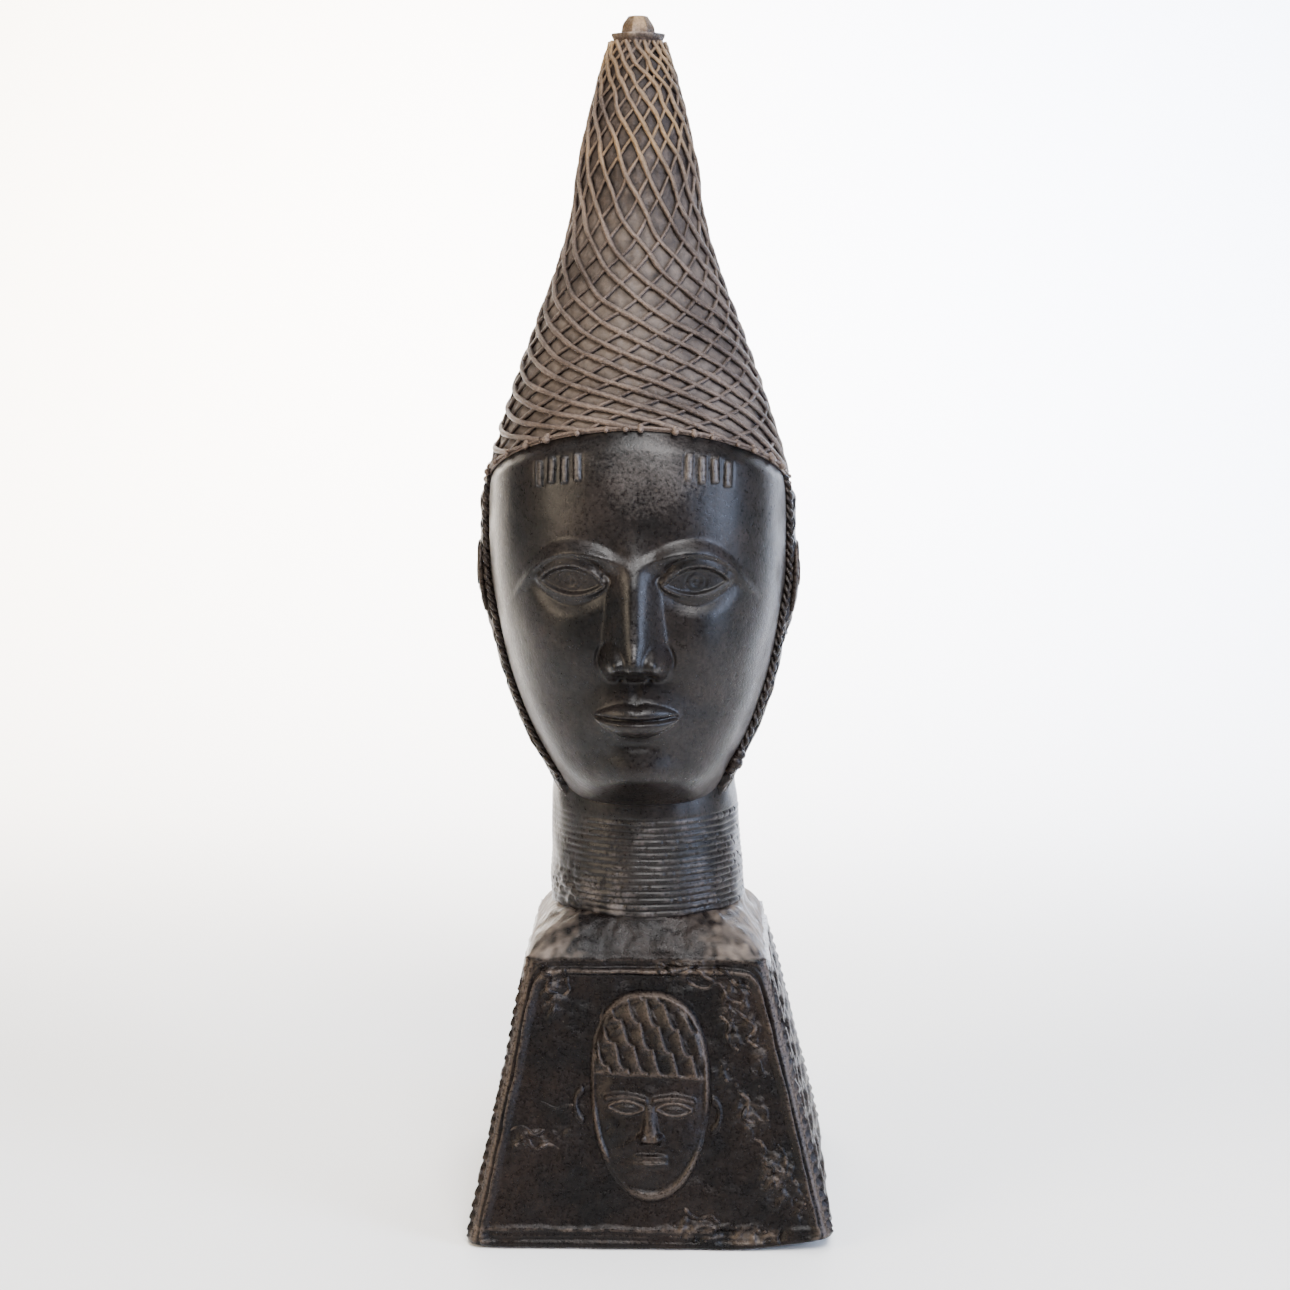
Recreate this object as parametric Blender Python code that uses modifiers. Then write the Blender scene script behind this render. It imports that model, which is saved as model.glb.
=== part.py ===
"""A cast bronze head on a four-sided base, with a tall pointed net cap, a ringed neck and a relief on the base.

The whole work is one casting, so it is one closed solid. It stands on the plane z = 0 and looks along -Y.
Every length is in metres, every angle in degrees unless its name says otherwise.
"""

import math

import bmesh
import bpy
import numpy as np
from mathutils import Matrix

# Heights, stacked from the ground up
BASE_HEIGHT = 0.163
SHOULDER_RISE = 0.021
COLLAR_HEIGHT = 0.057
THROAT_HEIGHT = 0.021
FACE_HEIGHT = 0.208
NET_HEIGHT = 0.248
FINIAL_HEIGHT = 0.015

# The four-sided base
BASE_WIDTH = 0.214
BASE_TOP_WIDTH = 0.139
CORNER_RADIUS = 0.012
BORDER_WIDTH = 0.007
BORDER_HEIGHT = 0.0022
BORDER_GAP = 0.0016
CORNER_LIFT = 0.006
LIFT_LENGTH = 0.060

# The neck and its collar of rings
NECK_WIDTH = 0.113
COLLAR_RINGS = 12
RING_DEPTH = 0.0016
NECK_SIDES = 20

# The head
HEAD_WIDTH = 0.174
HEAD_DEPTH = 0.198
HAIR_THICKNESS = 0.0045
EAR_BULGE = 0.004
LEAN = -0.0095
HAIR_COLUMNS = 6
EYE_SHARE = 0.2
MARK_COUNT = 4
MARK_LENGTH = 0.014
MARK_WIDTH = 0.003
MARK_GAP = 0.0072
MARK_HEIGHT = 0.0018

# The net cap
CAP_WIDTH = 0.1772
RIM_TILT = 0.033
RIM_THICKNESS = 0.0052
RIM_BLEND = 0.014
RIM_POINTS = 40
STRANDS = 18
STRAND_WIDTH = 0.0030
NET_DEPTH = 0.0020
FLAT_FLOORS = 0.68

# The finial
LIP_WIDTH = 0.0312
KNOB_WIDTH = 0.0198
KNOB_TOP_WIDTH = 0.0132
FINIAL_SIDES = 7

# The relief head on the front of the base
RELIEF_WIDTH = 0.066
RELIEF_HEIGHT = 0.112
RELIEF_FOOT = 0.030
RELIEF_DEPTH = 0.0065
HAT_SHARE = 0.40
HAT_LEAVES = 5

# Heights of the stations, from the stack above
NECK_FOOT_Z = BASE_HEIGHT + SHOULDER_RISE
COLLAR_TOP_Z = NECK_FOOT_Z + COLLAR_HEIGHT
CHIN_Z = COLLAR_TOP_Z + THROAT_HEIGHT
RIM_FRONT_Z = CHIN_Z + FACE_HEIGHT
RIM_Z = RIM_FRONT_Z - RIM_TILT
NET_TOP_Z = RIM_Z + NET_HEIGHT
TOP_Z = NET_TOP_Z + FINIAL_HEIGHT

# How wide the cap is, as shares of its rim, at shares of the height of the net
CAP_PROFILE = [(-0.2, 1.06), (0.0, 1.0), (0.08, 0.935), (0.22, 0.806), (0.36, 0.661), (0.5, 0.512),
               (0.62, 0.42), (0.7, 0.394), (0.8, 0.335), (0.92, 0.248), (1.0, 0.178)]
# How steep the long strands and the cross ties run, in degrees from level, at shares of that height
LONG_STRANDS = [(0.0, 20), (0.2, 28), (0.4, 36), (0.6, 62), (0.7, 67), (0.82, 60), (1.0, 54)]
CROSS_TIES = [(0.0, 30), (0.25, 35), (0.45, 44), (0.65, 60), (0.82, 55), (1.0, 54)]

# The head's half width, front depth and back depth, as shares of half its width and half its depth, at shares
# of the face's height above the chin
WIDTH_PROFILE = [(-0.08, 0.50), (0.0, 0.58), (0.12, 0.73), (0.28, 0.87), (0.45, 0.955), (0.62, 1.0),
                 (0.85, 0.99), (1.0, 0.95), (1.2, 0.82)]
FRONT_PROFILE = [(-0.08, 0.46), (-0.03, 0.66), (0.03, 0.82), (0.12, 0.87), (0.3, 0.91), (0.5, 0.945),
                 (0.68, 0.965), (0.85, 0.93), (1.0, 0.85), (1.2, 0.70)]
BACK_PROFILE = [(-0.08, 0.58), (0.05, 0.66), (0.25, 0.82), (0.45, 0.95), (0.65, 1.0), (0.85, 0.97),
                (1.0, 0.90), (1.2, 0.76)]
# Where the face has its rows, as shares of its height, and its columns, as shares of its half width: they lie
# on the lids, the wings of the nose and the lips, so that few of them carry the features
FACE_ROWS = [-0.08, -0.04, -0.01, 0.02, 0.06, 0.10, 0.15, 0.185, 0.222, 0.25, 0.29, 0.325, 0.36, 0.42, 0.49, 0.535,
             0.565, 0.59, 0.615, 0.645, 0.68, 0.74, 0.82, 0.91, 1.0, 1.05]
FACE_COLUMNS = [0.0, 0.06, 0.13, 0.2, 0.29, 0.4, 0.5, 0.6, 0.72, 0.86, 1.0]
# Where the hair's front edge runs, in degrees round from the front, at shares of the face's height
HAIR_EDGE = [(-0.08, 52), (0.0, 55), (0.15, 68), (0.4, 79), (0.7, 84), (1.2, 84)]


def clear_scene():
    for old in list(bpy.data.objects):
        bpy.data.objects.remove(old, do_unlink=True)


def through(points, at):
    """A smooth curve through (place, value) points, read at one place or at an array of places."""
    places, values = np.array(points, dtype=float).T
    slopes = np.gradient(values, places)
    at = np.clip(np.asarray(at, dtype=float), places[0], places[-1])
    left = np.clip(np.searchsorted(places, at) - 1, 0, len(places) - 2)
    span = places[left + 1] - places[left]
    t = (at - places[left]) / span
    start = (1 + 2 * t) * (1 - t) ** 2 * values[left] + t * (1 - t) ** 2 * span * slopes[left]
    end = t * t * (3 - 2 * t) * values[left + 1] + t * t * (t - 1) * span * slopes[left + 1]
    return start + end


def ease(t):
    """0 below 0, 1 above 1, and a smooth rise between."""
    t = min(max(t, 0.0), 1.0)
    return t * t * (3 - 2 * t)


def bump(x, z, centre_x, centre_z, half_width, half_height):
    """1 at the centre of an ellipse, 0 on its edge and beyond."""
    reach = ((x - centre_x) / half_width) ** 2 + ((z - centre_z) / half_height) ** 2
    return max(0.0, 1.0 - reach) ** 2


def axis_x(z):
    """The work leans a little to its right: the axis drifts sideways up to the cap's rim."""
    return LEAN * ease(z / RIM_Z)


def rotation(degrees, axis):
    return Matrix.Rotation(math.radians(degrees), 4, axis)


def object_of(name, mesh, collection):
    made = bpy.data.objects.new(name, mesh)
    collection.objects.link(made)
    return made


def mesh_from(bm, name):
    bmesh.ops.recalc_face_normals(bm, faces=bm.faces)
    mesh = bpy.data.meshes.new(name)
    bm.to_mesh(mesh)
    bm.free()
    return mesh


def loft(name, rings, collection):
    """A closed solid through rings of points, the first and the last of them filled."""
    bm = bmesh.new()
    rows = [[bm.verts.new(point) for point in ring] for ring in rings]
    count = len(rows[0])
    for low, high in zip(rows, rows[1:]):
        for i in range(count):
            j = (i + 1) % count
            bm.faces.new((low[i], low[j], high[j], high[i]))
    bm.faces.new(rows[0])
    bm.faces.new(rows[-1])
    return object_of(name, mesh_from(bm, name), collection)


def turned(name, profile, sides, collection):
    """A solid turned from (radius, height) points that run from the top down to the foot, both on the axis."""
    mesh = bpy.data.meshes.new(name)
    points = [(radius, 0.0, height) for radius, height in profile]
    mesh.from_pydata(points, [(i, i + 1) for i in range(len(points) - 1)], [])
    made = object_of(name, mesh, collection)
    screw = made.modifiers.new("Turn", "SCREW")
    screw.axis = "Z"
    screw.angle = math.tau
    screw.steps = sides
    screw.render_steps = sides
    screw.use_merge_vertices = True
    screw.merge_threshold = 0.00005
    return made


def applied(made):
    """Bakes an object's modifiers and its lean into its mesh, because it is about to be joined."""
    bpy.context.view_layer.update()
    graph = bpy.context.evaluated_depsgraph_get()
    mesh = bpy.data.meshes.new_from_object(made.evaluated_get(graph))
    made.modifiers.clear()
    made.data = mesh
    for vertex in mesh.vertices:
        vertex.co.x += axis_x(vertex.co.z)
    return made


# The base

def base_half(z):
    """Half the base's width at a height, on the flat of a side."""
    share = z / BASE_HEIGHT
    return BASE_WIDTH / 2 + share * (BASE_TOP_WIDTH - BASE_WIDTH) / 2


def make_base(collection):
    """A cut-off pyramid with rounded corners. Each side has a border of two ridges round a sunk panel."""
    bm = bmesh.new()
    bmesh.ops.create_cone(bm, cap_ends=True, segments=4, radius1=BASE_WIDTH / math.sqrt(2),
                          radius2=BASE_TOP_WIDTH / math.sqrt(2), depth=BASE_HEIGHT)
    bmesh.ops.rotate(bm, verts=bm.verts, matrix=rotation(45, "Z"))
    bmesh.ops.translate(bm, verts=bm.verts, vec=(0, 0, BASE_HEIGHT / 2))
    corners = [edge for edge in bm.edges if abs(edge.verts[0].co.z - edge.verts[1].co.z) > BASE_HEIGHT / 2]
    bmesh.ops.bevel(bm, geom=corners, offset=CORNER_RADIUS, segments=3, profile=0.5, affect="EDGES")
    top_edges = [edge for edge in bm.edges if all(vertex.co.z > BASE_HEIGHT * 0.99 for vertex in edge.verts)]
    bmesh.ops.bevel(bm, geom=top_edges, offset=BORDER_HEIGHT, segments=1, profile=0.5, affect="EDGES")
    sides = sorted(bm.faces, key=lambda face: face.calc_area() * (abs(face.normal.z) < 0.7))[-4:]
    bmesh.ops.inset_individual(bm, faces=sides, thickness=BORDER_WIDTH * 0.4, depth=0.0)
    bmesh.ops.inset_individual(bm, faces=sides, thickness=BORDER_GAP / 2, depth=-BORDER_HEIGHT / 2)
    bmesh.ops.inset_individual(bm, faces=sides, thickness=BORDER_GAP / 2, depth=BORDER_HEIGHT / 2)
    bmesh.ops.inset_individual(bm, faces=sides, thickness=BORDER_WIDTH * 0.4, depth=0.0)
    bmesh.ops.inset_individual(bm, faces=sides, thickness=BORDER_HEIGHT, depth=-BORDER_HEIGHT)
    return object_of("bronze_head", mesh_from(bm, "bronze_head"), collection)


def make_lift(collection):
    """The wedge of metal that is missing under the front corner at +X."""
    bm = bmesh.new()
    bmesh.ops.create_cube(bm, size=1.0)
    for vertex in bm.verts:
        right = vertex.co.x > 0
        above = vertex.co.z > 0
        vertex.co.x = BASE_WIDTH / 2 - LIFT_LENGTH + (LIFT_LENGTH + BASE_WIDTH / 8) * right
        vertex.co.y = -BASE_WIDTH / 2 + (LIFT_LENGTH * 0.6 if vertex.co.y > 0 else -BASE_WIDTH / 8)
        vertex.co.z = CORNER_LIFT * (1.0 if right else 0.25) if above else -CORNER_LIFT
    return object_of("missing_corner", mesh_from(bm, "missing_corner"), collection)


def make_shoulder(collection):
    """The rounded slope from the base's square top to the round neck."""
    rings = []
    stations = [(-0.5, 0.93, 9.0), (0.0, 0.93, 9.0), (0.2, 0.89, 5.0), (0.6, 0.86, 2.6), (1.0, 0.85, 2.0),
                (1.5, 0.83, 2.0)]
    for rise, wide, square in stations:
        half = wide * BASE_TOP_WIDTH / 2
        half = half + (NECK_WIDTH / 2 - half) * ease(rise) * 0.9
        height = BASE_HEIGHT + rise * SHOULDER_RISE
        ring = []
        for i in range(NECK_SIDES):
            angle = math.tau * (i + 0.5) / NECK_SIDES
            c, s = math.cos(angle), math.sin(angle)
            reach = half / (abs(c) ** square + abs(s) ** square) ** (1 / square)
            ring.append((reach * c, reach * s, height))
        rings.append(ring)
    return loft("shoulder", rings, collection)


def make_neck(collection):
    """The neck, bare under the chin and ringed below by rounded ridges with grooves between."""
    half = NECK_WIDTH / 2
    pitch = COLLAR_HEIGHT / COLLAR_RINGS
    profile = [(0.0, CHIN_Z + FACE_HEIGHT * 0.2), (half * 0.6, CHIN_Z + FACE_HEIGHT * 0.2), (half * 0.96, CHIN_Z)]
    profile.append((half * 0.97, COLLAR_TOP_Z))
    for ring in range(COLLAR_RINGS):
        top = COLLAR_TOP_Z - ring * pitch
        spread = half * (1 + 0.035 * ring / COLLAR_RINGS)
        profile.append((spread, top - pitch * 0.25))
        profile.append((spread - RING_DEPTH, top - pitch))
    profile += [(half * 1.03, NECK_FOOT_Z - SHOULDER_RISE * 0.6), (0.0, NECK_FOOT_Z - SHOULDER_RISE * 0.6)]
    return turned("neck", profile, NECK_SIDES, collection)


# The head

def face_features(x, z):
    """How far the calm, even face stands out of the plain egg of the head, forward, at x to the side and z up.

    The face is divided in thirds: chin to nose, nose to brow, brow to rim. An eye is a fifth of the width.
    """
    third = FACE_HEIGHT / 3
    eye = EYE_SHARE * HEAD_WIDTH
    nose_z = CHIN_Z + third
    brow_z = CHIN_Z + 2 * third
    eye_z = brow_z - 0.24 * third
    mouth_z = nose_z - third / 3
    side = abs(x)
    out = 0.0
    out -= 0.2 * eye * bump(side, z, eye, eye_z, 0.8 * eye, 0.3 * third)
    arch_z = brow_z - 0.9 * (side - eye) ** 2 / eye
    out += 0.13 * eye * bump(side, z, eye, arch_z, 1.1 * eye, 0.12 * third)
    rise = (brow_z - z) / third
    if -0.12 < rise < 1.06:
        down = min(max(rise, 0.0), 0.86) / 0.86
        half = eye * (0.19 + 0.12 * down)
        height = eye * (0.16 + 0.44 * down)
        end = ease((1.06 - rise) / 0.2) * ease((rise + 0.12) / 0.25)
        out += height * end * max(0.0, 1 - (side / (1.6 * half)) ** 2) ** 1.4
    out += 0.24 * eye * bump(side, z, 0.36 * eye, nose_z + 0.12 * third, 0.26 * eye, 0.17 * third)
    out += 0.20 * eye * bump(side, z, 0.0, mouth_z + 0.085 * third, 0.78 * eye, 0.11 * third)
    out += 0.21 * eye * bump(side, z, 0.0, mouth_z - 0.11 * third, 0.66 * eye, 0.13 * third)
    out += 0.14 * eye * bump(side, z, 0.0, CHIN_Z + 0.2 * third, 0.75 * eye, 0.3 * third)
    out += 0.12 * eye * bump(side, z, 1.25 * eye, nose_z + 0.25 * third, 0.9 * eye, 0.55 * third)
    return out


def head_point(angle, z, raise_hair):
    """A point of the head, at an angle in degrees round from the front and a height."""
    share = (z - CHIN_Z) / FACE_HEIGHT
    half_width = float(through(WIDTH_PROFILE, share)) * HEAD_WIDTH / 2
    front = float(through(FRONT_PROFILE, share)) * HEAD_DEPTH / 2
    back = float(through(BACK_PROFILE, share)) * HEAD_DEPTH / 2
    turn = math.radians(angle)
    s, c = math.sin(turn), math.cos(turn)
    depth = front if c > 0 else back
    square = 2.25
    reach = (abs(s / half_width) ** square + abs(c / depth) ** square) ** (-1 / square)
    reach += HAIR_THICKNESS * raise_hair
    above_rim = z - RIM_Z - RIM_TILT * c
    inside = cap_half(z)
    inside = 1 / math.hypot(s / inside, c / (inside * cap_depth(z))) - RIM_THICKNESS * 0.4
    tuck = ease(1 + above_rim / RIM_BLEND)
    reach += (inside - 0.3 * max(0.0, above_rim) - reach) * tuck
    x, y = reach * s, -reach * c
    y -= face_features(x, z) * ease((c - 0.2) / 0.4)
    ear = bump(abs(angle), z, 88, CHIN_Z + FACE_HEIGHT * 0.52, 9, FACE_HEIGHT * 0.16)
    x += EAR_BULGE * ear * (1 if x > 0 else -1)
    return (x, y, z)


def make_head(collection):
    """The head from inside the neck up to inside the cap, with the hair a step proud of the face."""
    rings = []
    columns = [-across for across in reversed(FACE_COLUMNS[1:])] + FACE_COLUMNS
    for share in FACE_ROWS:
        z = CHIN_Z + share * FACE_HEIGHT
        edge = float(through(HAIR_EDGE, share))
        ring = []
        for across in columns:
            turn = math.asin(across * math.sin(math.radians(edge)))
            ring.append(head_point(math.degrees(turn), z, 0.0))
        for i in range(HAIR_COLUMNS + 1):
            start = edge + 2.5
            ring.append(head_point(start + (360 - 2 * start) * i / HAIR_COLUMNS, z, 1.0))
        rings.append(ring)
    return loft("head", rings, collection)


def make_lens(name, across, z, half_width, half_height, out, collection):
    """A pointed oval that stands out of the face: an eyeball between its lids, or a lip."""
    angle = math.degrees(math.asin(across / (HEAD_WIDTH / 2)))
    foot = head_point(angle, z, 0.0)
    bm = bmesh.new()
    bmesh.ops.create_uvsphere(bm, u_segments=8, v_segments=6, radius=1.0)
    bmesh.ops.rotate(bm, verts=bm.verts, matrix=rotation(90, "X"))
    for vertex in bm.verts:
        pinch = 1 - 0.45 * abs(vertex.co.x) ** 2
        vertex.co = (half_width * vertex.co.x, 1.6 * out * vertex.co.y, half_height * pinch * vertex.co.z)
    bmesh.ops.rotate(bm, verts=bm.verts, matrix=rotation(angle * 0.8, "Z"))
    bmesh.ops.translate(bm, verts=bm.verts, vec=(foot[0], foot[1] + 0.6 * out, foot[2]))
    return object_of(name, mesh_from(bm, name), collection)


def make_eyes_and_lips(collection):
    """The almond eyes and the two lips, on the same thirds and fifths as the rest of the face."""
    third = FACE_HEIGHT / 3
    eye = EYE_SHARE * HEAD_WIDTH
    eye_z = CHIN_Z + 1.76 * third
    mouth_z = CHIN_Z + 2 / 3 * third
    return [
        make_lens("eye_left", -eye, eye_z, 0.52 * eye, 0.27 * eye, 0.12 * eye, collection),
        make_lens("eye_right", eye, eye_z, 0.52 * eye, 0.27 * eye, 0.12 * eye, collection),
        make_lens("upper_lip", 0.0, mouth_z + 0.065 * third, 0.72 * eye, 0.12 * eye, 0.08 * eye, collection),
        make_lens("lower_lip", 0.0, mouth_z - 0.09 * third, 0.62 * eye, 0.15 * eye, 0.1 * eye, collection),
    ]


def make_marks(collection):
    """Four upright bars on each side of the forehead, under the rim."""
    marks = []
    for side in (-1, 1):
        for i in range(MARK_COUNT):
            across = side * (EYE_SHARE * HEAD_WIDTH + (i - 0.5) * MARK_GAP)
            drop = RIM_TILT * 0.55 * (across / (HEAD_WIDTH / 2)) ** 2
            middle = RIM_FRONT_Z - RIM_THICKNESS - MARK_LENGTH - drop
            angle = math.degrees(math.asin(across / (HEAD_WIDTH / 2)))
            foot = head_point(angle, middle, 0.0)
            bm = bmesh.new()
            bmesh.ops.create_cube(bm, size=1.0)
            bmesh.ops.scale(bm, verts=bm.verts, vec=(MARK_WIDTH, 4 * MARK_HEIGHT, MARK_LENGTH))
            bmesh.ops.rotate(bm, verts=bm.verts, matrix=rotation(angle * 0.8, "Z"))
            bmesh.ops.translate(bm, verts=bm.verts, vec=(foot[0], foot[1] + MARK_HEIGHT, foot[2]))
            name = "mark_" + ("left" if side < 0 else "right") + str(i + 1)
            marks.append(object_of(name, mesh_from(bm, name), collection))
    return marks


# The cap

def cap_half(z):
    """The cap's half width at a height."""
    return float(through(CAP_PROFILE, (z - RIM_Z) / NET_HEIGHT)) * CAP_WIDTH / 2


def cap_depth(z):
    """How much deeper than wide the cap is at a height: an oval at the rim, round further up."""
    return 1 + 0.10 * max(0.0, 1 - (z - RIM_Z) / (NET_HEIGHT * 0.5))


def cap_point(angle, rise, outward=0.0):
    """A point of the cap at an angle in radians from the front and a rise above the rim's level."""
    fade = max(0.0, 1 - rise / (NET_HEIGHT * 0.42)) ** 1.5
    z = RIM_Z + rise + RIM_TILT * math.cos(angle) * fade
    half = cap_half(z) + outward
    return (half * math.sin(angle), -half * cap_depth(z) * math.cos(angle), z)


def net_rows():
    """(rise, turn) of each row of crossings: the strands' slopes settle how far up and round the next one is."""
    gap = math.tau / STRANDS
    rise, turn = 0.0, 0.0
    rows = []
    while rise < NET_HEIGHT * 0.985:
        rows.append((rise, turn))
        share = rise / NET_HEIGHT
        half = cap_half(RIM_Z + rise)
        long_rate = 1 / (half * math.tan(math.radians(float(through(LONG_STRANDS, share)))))
        tie_rate = 1 / (half * math.tan(math.radians(float(through(CROSS_TIES, share)))))
        step = gap / (long_rate + tie_rate)
        rise += step
        turn += (tie_rate - long_rate) / 2 * step
    rows.append((NET_HEIGHT, turn))
    return rows


def make_cap(collection):
    """The cap: a lattice of slanting cells, each sunk between its strands."""
    bm = bmesh.new()
    gap = math.tau / STRANDS
    rows = net_rows()
    verts = []
    for number, (rise, turn) in enumerate(rows):
        shift = 0.5 * (number % 2)
        verts.append([bm.verts.new(cap_point((i + shift) * gap + turn, rise)) for i in range(STRANDS)])
    cells = []
    for number in range(len(rows) - 2):
        offset = number % 2
        row = []
        for i in range(STRANDS):
            side = (i + offset) % STRANDS
            row.append(bm.faces.new((verts[number][i], verts[number + 1][side], verts[number + 2][i],
                                     verts[number + 1][(side - 1) % STRANDS])))
        cells.append(row)
    inner = [bm.verts.new((0.5 * v.co.x, 0.5 * v.co.y, RIM_Z + (v.co.z - RIM_Z) / 2)) for v in verts[0]]
    for i in range(STRANDS):
        j = (i + 1) % STRANDS
        bm.faces.new((verts[0][i], verts[0][j], verts[1][i]))
        bm.faces.new((verts[0][j], verts[0][i], inner[i], inner[j]))
        last = len(rows) - 1
        shift = (i + 1) % STRANDS if last % 2 else i
        bm.faces.new((verts[last][i], verts[last][j], verts[last - 1][(i + 1) % STRANDS if last % 2 == 0 else j]))
    bm.faces.new(inner)
    bm.faces.new(verts[-1])
    bmesh.ops.recalc_face_normals(bm, faces=bm.faces)
    for number, row in enumerate(cells):
        rise = rows[number + 1][0]
        narrow = cap_half(RIM_Z + rise) / (CAP_WIDTH / 2)
        wide = STRAND_WIDTH / 2 * (0.2 + 0.8 * narrow)
        if rise > NET_HEIGHT * FLAT_FLOORS:
            bmesh.ops.poke(bm, faces=row, offset=-NET_DEPTH)
        else:
            bmesh.ops.inset_individual(bm, faces=row, thickness=wide, depth=-NET_DEPTH * (0.2 + 0.8 * narrow))
    return object_of("cap", mesh_from(bm, "cap"), collection)


def make_rim(collection):
    """The cap's raised lip: a bead that follows the tilted rim."""
    curve = bpy.data.curves.new("rim", "CURVE")
    curve.dimensions = "3D"
    curve.bevel_depth = RIM_THICKNESS / 2
    curve.bevel_resolution = 0
    spline = curve.splines.new("POLY")
    spline.points.add(RIM_POINTS - 1)
    spline.use_cyclic_u = True
    for i, point in enumerate(spline.points):
        point.co = (*cap_point(math.tau * (i + 0.3) / RIM_POINTS, 0.0, -RIM_THICKNESS * 0.12), 1.0)
    return object_of("rim", curve, collection)


def make_finial(collection):
    """The collar with its lip and the small tapered knob, all with flat facets."""
    lip, knob, top = LIP_WIDTH / 2, KNOB_WIDTH / 2, KNOB_TOP_WIDTH / 2
    profile = [(0.0, TOP_Z), (top, TOP_Z), (knob, NET_TOP_Z + FINIAL_HEIGHT * 0.5),
               (knob * 1.05, NET_TOP_Z + FINIAL_HEIGHT * 0.42), (lip * 0.9, NET_TOP_Z + FINIAL_HEIGHT * 0.45),
               (lip, NET_TOP_Z + FINIAL_HEIGHT * 0.3), (lip * 0.93, NET_TOP_Z - FINIAL_HEIGHT * 0.1),
               (lip * 0.8, NET_TOP_Z - FINIAL_HEIGHT), (0.0, NET_TOP_Z - FINIAL_HEIGHT)]
    return turned("finial", profile, FINIAL_SIDES, collection)


# The relief on the base

def on_front(x, z, out):
    """A point x to the side and z up, out from the front panel, measured square to its slope."""
    slope = math.atan2((BASE_WIDTH - BASE_TOP_WIDTH) / 2, BASE_HEIGHT)
    panel = -base_half(z) + BORDER_HEIGHT / math.cos(slope)
    return (x, panel - out * math.cos(slope), z + out * math.sin(slope))


def dome(name, centre_x, centre_z, half_width, half_height, out, collection, columns=12, rows=6):
    """Half an egg on the front panel, from a ball that is sunk to its waist."""
    bm = bmesh.new()
    bmesh.ops.create_uvsphere(bm, u_segments=columns, v_segments=rows, radius=1.0)
    bmesh.ops.rotate(bm, verts=bm.verts, matrix=rotation(90, "X"))
    for vertex in bm.verts:
        x = centre_x + half_width * vertex.co.x
        z = centre_z + half_height * vertex.co.z
        vertex.co = on_front(x, z, -vertex.co.y * out)
    return object_of(name, mesh_from(bm, name), collection)


def make_relief(collection):
    """A small head in a leaf-patterned hat, with a plain even face like the large one's."""
    half = RELIEF_WIDTH / 2
    top = RELIEF_FOOT + RELIEF_HEIGHT
    hat_z = top - HAT_SHARE * RELIEF_HEIGHT
    face = hat_z - RELIEF_FOOT
    middle = RELIEF_FOOT + RELIEF_HEIGHT / 2
    parts = [dome("relief_head", 0, middle, half, RELIEF_HEIGHT / 2, RELIEF_DEPTH, collection, 12, 7)]
    hat_middle = hat_z + (top - hat_z) * 0.42
    hat = dome("relief_hat", 0, hat_middle, half * 1.02, (top - hat_z) * 0.56, RELIEF_DEPTH * 1.25, collection, 10, 6)
    parts.append(hat)
    for i in range(HAT_LEAVES):
        across = (i - (HAT_LEAVES - 1) / 2) * half * 0.36
        leaf = dome("relief_leaf" + str(i + 1), across, hat_middle + abs(across) * -0.1, half * 0.12,
                    (top - hat_z) * 0.36, RELIEF_DEPTH * 1.55, collection, 6, 4)
        parts.append(leaf)
    for side, name in ((-1, "left"), (1, "right")):
        eye_z = hat_z - face * 0.30
        parts.append(dome("relief_eye_" + name, side * half * 0.42, eye_z, half * 0.24, face * 0.06,
                          RELIEF_DEPTH * 1.35, collection, 6, 4))
        parts.append(dome("relief_ear_" + name, side * half * 1.08, eye_z, half * 0.16, face * 0.13,
                          RELIEF_DEPTH * 0.6, collection, 6, 4))
    parts.append(dome("relief_nose", 0, hat_z - face * 0.46, half * 0.17, face * 0.19, RELIEF_DEPTH * 1.6,
                      collection, 6, 4))
    parts.append(dome("relief_mouth", 0, hat_z - face * 0.75, half * 0.32, face * 0.05, RELIEF_DEPTH * 1.35,
                      collection, 6, 4))
    return parts


def bronze():
    """Cast bronze with a dark brown patina."""
    material = bpy.data.materials.new("patinated_bronze")
    material.use_nodes = True
    shader = material.node_tree.nodes["Principled BSDF"]
    shader.inputs["Base Color"].default_value = (0.045, 0.034, 0.027, 1.0)
    shader.inputs["Metallic"].default_value = 0.85
    shader.inputs["Roughness"].default_value = 0.38
    return material


def join(main, parts, operation):
    """Joins or cuts the casting with each of the parts."""
    for part in parts:
        part.hide_render = True
        part.display_type = "WIRE"
        modifier = main.modifiers.new(part.name, "BOOLEAN")
        modifier.operation = operation
        modifier.object = part
        # The exact solver loses the whole casting at the rim, whose bead grazes hundreds of strand ends.
        if part.name == "rim":
            modifier.solver = "MANIFOLD"


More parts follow.
